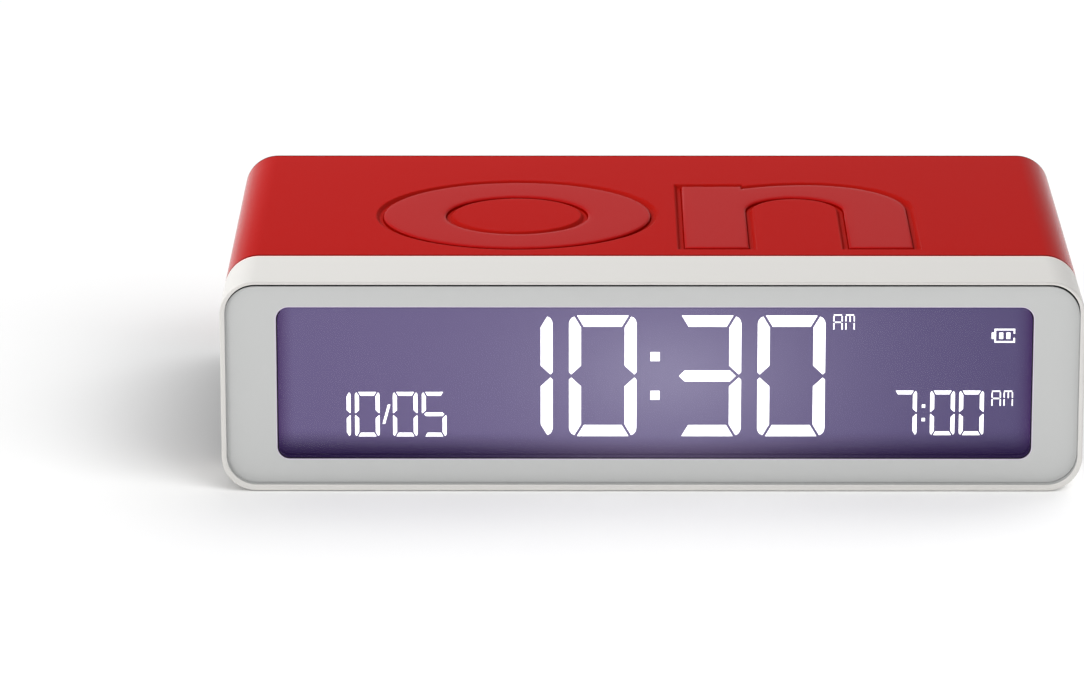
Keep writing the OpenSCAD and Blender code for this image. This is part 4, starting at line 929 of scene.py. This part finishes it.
def morning_mark(x0, top):
    """The two morning letters from thin bars. The uprights are broken at mid-height."""
    w, h, t, pitch, split, gap, stem_l = 1.19, 1.95, 0.185, 1.47, 1.01, 0.18, 0.97
    bars = []
    for x in (x0, x0 + pitch):
        for left in (x, x + w - t):
            bars.append(box_mark(left, top - h, left + t, top - split - gap / 2))
            bars.append(box_mark(left, top - split + gap / 2, left + t, top - t - 0.03))
        bars.append(box_mark(x + 0.05, top - t, x + w - 0.1, top))
    bars.append(box_mark(x0 + t + 0.02, top - split - t / 2, x0 + w - t - 0.02, top - split + t / 2))
    stem_x = x0 + pitch + (w - t) / 2
    bars.append(box_mark(stem_x, top - stem_l, stem_x + t, top - t - 0.03))
    return bars


def battery_mark(x0, top):
    """A small cell: an outline that is open at the right, a terminal at the left, and two charge bars."""
    w, h, t, nub_w, nub_h, bar_w, bar_h, stub = 2.65, 1.89, 0.33, 0.34, 0.94, 0.625, 0.93, 0.74
    x1, low, middle = x0 + w, top - h, top - h / 2
    room = (w - 2 * t - 2 * bar_w) / 3
    outline = np.array([
        [x0, low], [x1, low], [x1, low + stub], [x1 - t, low + stub], [x1 - t, low + t], [x0 + t, low + t],
        [x0 + t, top - t], [x1 - t, top - t], [x1 - t, top - stub], [x1, top - stub], [x1, top], [x0, top],
        [x0, middle + nub_h / 2], [x0 - nub_w, middle + nub_h / 2], [x0 - nub_w, middle - nub_h / 2],
        [x0, middle - nub_h / 2],
    ])
    bars = [
        box_mark(left, middle - bar_h / 2, left + bar_w, middle + bar_h / 2)
        for left in (x0 + t + room, x0 + t + 2 * room + bar_w)
    ]
    return [outline, *bars]


def lit_marks():
    """All lit marks. Each is (polygon, how much it is shrunk so that its light stays within its bounds)."""
    time_w, time_h, _, _ = time_sizes
    note_w, note_h, note_t, _ = note_sizes
    time_pitch, time_space = 10.24, 2.52
    note_pitch, note_space = note_w + 0.4, 1.5
    time_z, time_right = window_z + 0.29, window_x + 20.91
    date_z, date_left = window_z - 4.6, window_x - window_w / 2 + 8.33
    wake_z, wake_right = date_z + 0.2, window_x + window_w / 2 - 5.66
    x4 = time_right - time_w
    x3 = x4 - time_pitch
    x2 = x3 - time_pitch - time_space
    large = colon((x2 + time_w + x3) / 2, time_z, 1.29, 4.92)
    for lit, x in (("bc", x2 - time_pitch), ("abcdef", x2), ("abcdg", x3), ("abcdef", x4)):
        large += digit(lit, x, time_z, *time_sizes)
    d1 = date_left - note_w + note_t
    d2 = d1 + note_pitch
    d3 = d2 + note_w + note_space
    w3 = wake_right - note_w
    w2 = w3 - note_pitch
    w1 = w2 - note_w - note_space
    small = colon((w1 + note_w + w2) / 2, wake_z, 0.54, 1.72)
    for lit, x, z in (("bc", d1, date_z), ("abcdef", d2, date_z), ("abcdef", d3, date_z),
                      ("acdfg", d3 + note_pitch, date_z), ("abc", w1, wake_z), ("abcdef", w2, wake_z),
                      ("abcdef", w3, wake_z)):
        small += digit(lit, x, z, *note_sizes)
    slash_x, slash_z = d2 + note_w + 0.2, date_z - 1.29
    small.append(np.array([[0, 0], [0.45, 0], [1.14, 2.58], [0.69, 2.58]]) + [slash_x, slash_z])
    cell = battery_mark(wake_right + 1.0, window_z + 6.36)
    thin = morning_mark(time_right + 0.835, time_z + time_h / 2 + 0.08)
    thin += morning_mark(wake_right + 0.84, wake_z + note_h / 2 - 0.05)
    shrinks = ((large, 0.075), (small, 0.065), (cell, 0.07), (thin, 0.02))
    return [(mark, by) for marks, by in shrinks for mark in marks]


def shrunk(polygon, by):
    """A polygon with each of its sides moved inwards by the same length, and its corners where they meet.
    With the directions e1, e2 of a corner's two sides and their inward normals n1, n2, the corner moves by
    n1 + e1 (1 - n1 . n2) / (e1 . n2), times that length."""
    side = np.roll(polygon, -1, axis=0) - polygon
    side /= np.linalg.norm(side, axis=1)[:, None]
    area = np.cross(polygon, np.roll(polygon, -1, axis=0)).sum()
    inward = np.column_stack((-side[:, 1], side[:, 0])) * np.sign(area)
    side_before, inward_before = np.roll(side, 1, axis=0), np.roll(inward, 1, axis=0)
    bend = (side_before * inward).sum(1)
    reach = (1 - (inward_before * inward).sum(1)) / np.where(np.abs(bend) < 1e-6, 1e6, bend)
    return polygon + by * (inward_before + side_before * reach[:, None])


def segment_patches():
    """Thin lit slabs on the display's face, one for each lit mark."""
    low, high = corners("lcd_segments")
    patches = []
    for polygon, by in lit_marks():
        edge = shrunk(polygon, by)
        around = lofted([(edge, low[1]), (edge, high[1])])
        patches += [flat_fill(edge, [], low[1]), around, flat_fill(edge, [], high[1])]
    return patches


sleeve_looks = [red, red_letter, red_edge_painted_shade, red_wall_painted_shade, red_floor]
make_piece("red_sleeve", "body_sleeve", sleeve_patches(), sleeve_looks)
band_looks = [white, white_painted_highlight, grey, white_lip_painted_shade]
make_piece("white_front_band", "front_band", band_patches(), band_looks)
make_piece("grey_window_frame", "front_panel", panel_patches(), [grey, grey_painted_highlight, gap_painted_shade])
make_piece("clear_window", "display_window", window_patches(), [lens, mask, painted_shade_mask])
make_piece("lit_segments", "lcd_segments", segment_patches(), [segments], weighted=False)
softened_copy("back_cover", "rear_panel", [back_red], "housing", 0.15)
softened_copy("cell_door", "battery_door", [back_red], "door", 0.15)
screw_looks = [screw_steel, recess_steel_painted_shade]
back_screws = softened_copy("back_screws", "rear_screws", screw_looks, "housing", 0.1)
shade_sunk_faces(back_screws, screw_axes("rear_screws", rear_head_r), reach=1.2, depth=1.0)
cell_looks = [cell_film, cell_band, steel]
for name, side in (("upper", 1), ("lower", -1)):
    node = f"{name}_cell"
    make_piece(f"{name}_dry_cell", node, cell_patches(node, side), cell_looks)
key_looks = [button_plastic, mark_painted_shade]
for name in ("time", "alarm", "plus", "minus"):
    node = f"{name}_button"
    cap = softened_copy(f"{name}_cap", node, key_looks, f"{name}_key", 0.12, 3)
    shade_sunk_faces(cap, [sum(corners(node))[[0, 2]] / 2], reach=1.4, depth=0.5)


def slot_of(material):
    """Name of a material without the number that Blender gives to a second one of the same name."""
    return material.name.split(".")[0]


# Finish of the CAD nodes that stay, by their slot in the record. The first ones have their slot's name
own_looks = [
    glowing("seal_foam", (20, 14, 30), 0.8),
    glowing("display_film", (16, 12, 26), 1.0, 0.08),
    plastic("display_glass", (96, 84, 130), 0.2, grain=1.0, height=0.0005),
    plastic("light_box_white", (238, 238, 234), 0.6, level=0.3),
    plastic("contact_rubber", (70, 76, 84), 0.8, grain=0.2, height=0.004, level=0.2),
    plastic("board_green", (28, 92, 52), 0.35, grain=0.5, height=0.004, cloud=0.25),
    plastic("capacitor_blue", (30, 44, 110), 0.3),
    plastic("socket_ivory", (226, 220, 200), 0.4),
    plastic("ribbon_grey", (186, 188, 192), 0.45, grain=0.8, height=0.006),
    plastic("switch_grey", (120, 122, 126), 0.45),
    plastic("wire_red", (180, 24, 26), 0.4),
    plastic("wire_black", (22, 22, 24), 0.4),
    metal("ball_gilt", (220, 180, 92), (150, 116, 60), 0.18, share=0.1),
    metal("foil_copper", (206, 128, 92), (120, 74, 52), 0.3),
    metal("disc_brass", (212, 176, 96), (128, 100, 60), 0.28),
    screw_steel,
]
slot_finish = {
    **{slot_of(material): material for material in own_looks},
    "chip_black": plastic("black_plastic", (26, 26, 28), 0.45),
    "lamp_white": plastic("lamp_resin", (250, 246, 216), 0.25),
    "segment_white": segments, "steel_bright": steel, "cell_jacket": steel, "button_white": button_plastic,
    "rear_red": back_red, "sleeve_red": red, "band_white": white, "panel_grey": grey, "window_clear": lens,
}
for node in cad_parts.values():
    for k, old in enumerate(node.data.materials):
        node.data.materials[k] = slot_finish[slot_of(old)]


# Stage: floor, light and camera

def floor_material():
    """Pale, matt floor that takes the object's shadow. The camera sees it lifted to white far away."""
    material, tree, principled = new_material("pale_floor")
    set_inputs(principled, {"Base Color": (0.856, 0.856, 0.856, 1), "Roughness": 1.0,
                            "Specular IOR Level": 0.0, "Emission Color": (1, 1, 1, 1)})
    seen = add(tree, "LightPath").outputs["Is Camera Ray"]
    away = add(tree, "VectorMath", {0: add(tree, "TexCoord").outputs["Object"]}, operation="LENGTH")
    far = ramp_step(tree, away.outputs["Value"], 0.3, 1.2)
    lift = calc(tree, "MULTIPLY", calc(tree, "MULTIPLY", far, 0.5), seen)
    tree.links.new(lift, principled.inputs["Emission Strength"])
    return material


def make_floor():
    """A wide flat floor just under the object, which leaves a fine dark line where they meet."""
    half_size, drop = 3.0, 0.1 * MM
    bm = bmesh.new()
    bmesh.ops.create_grid(bm, x_segments=1, y_segments=1, size=half_size)
    bmesh.ops.translate(bm, verts=bm.verts, vec=(0, 0, -drop))
    floor = object_of("floor", bm, [floor_material()])
    return floor


def make_world():
    """White surroundings: full white where they are seen, mirrored or looked at through glass, and a softer
    light elsewhere."""
    ambient = 0.58
    world = bpy.data.worlds.new("studio")
    bpy.context.scene.world = world
    world.use_nodes = True
    tree = world.node_tree
    path = add(tree, "LightPath")
    seen = calc(tree, "MAXIMUM", path.outputs["Is Camera Ray"],
                calc(tree, "MAXIMUM", path.outputs["Is Glossy Ray"], path.outputs["Is Transmission Ray"]))
    strength = calc(tree, "MULTIPLY_ADD", seen, 1 - ambient, ambient)
    tree.nodes["Background"].inputs["Color"].default_value = (1, 1, 1, 1)
    tree.links.new(strength, tree.nodes["Background"].inputs["Strength"])


def make_lamp(name, place, width, height, power):
    """A soft rectangular lamp that looks at the object."""
    target = (0, 0, 0.01)
    data = bpy.data.lights.new(name, "AREA")
    data.shape = "RECTANGLE"
    data.size, data.size_y = width, height
    data.energy = power
    lamp = in_scene(name, data)
    lamp.location = place
    direction = Vector(target) - Vector(place)
    lamp.rotation_euler = direction.to_track_quat("-Z", "Y").to_euler()
    return lamp


def only_on(lamp, floor, state):
    """Keeps a lamp's light to the floor where state is INCLUDE, and away from it where it is EXCLUDE."""
    group = bpy.data.collections.new(lamp.name + "_reach")
    group.objects.link(floor)
    group.collection_objects[0].light_linking.link_state = state
    lamp.light_linking.receiver_collection = group


def make_camera():
    """The photograph's view: where the camera stands, how it is turned, and how narrow its view is."""
    place = np.array([-8.881, -738.893, 223.537])
    yaw, pitch, roll = (math.radians(a) for a in (-0.3643, 16.11, -0.0813))
    focal_px, frame_px, sensor = 6073.4, 1084, 36.0
    ahead = Vector((math.sin(yaw) * math.cos(pitch), math.cos(yaw) * math.cos(pitch), -math.sin(pitch)))
    right = Vector((math.cos(yaw), -math.sin(yaw), 0))
    up = right.cross(ahead)
    camera_x = right * math.cos(roll) + up * math.sin(roll)
    camera_y = up * math.cos(roll) - right * math.sin(roll)
    data = bpy.data.cameras.new("camera")
    data.sensor_width = sensor
    data.lens = focal_px / frame_px * sensor
    data.clip_start, data.clip_end = 0.01, 20
    camera = in_scene("camera", data)
    axes = Matrix((camera_x, camera_y, -ahead)).transposed().to_4x4()
    camera.matrix_world = Matrix.Translation(Vector(place * MM)) @ axes
    bpy.context.scene.camera = camera


floor_object = make_floor()
make_world()
# Two lamps light only the floor, for its soft shadows
only_on(make_lamp("front_shade_lamp", (0.779, -0.791, 0.879), 1.0, 1.0, 12.7), floor_object, "INCLUDE")
only_on(make_lamp("back_shade_lamp", (0.414, 0.727, 0.906), 1.21, 1.21, 7.4), floor_object, "INCLUDE")
only_on(make_lamp("key_lamp", (-0.33, 0.2, 0.36), 0.3, 0.3, 1.45), floor_object, "EXCLUDE")
make_lamp("fill_lamp", (-0.3, -0.8, 0.27), 0.5, 0.4, 2.3)
make_camera()
bpy.context.scene.view_settings.view_transform = "Standard"
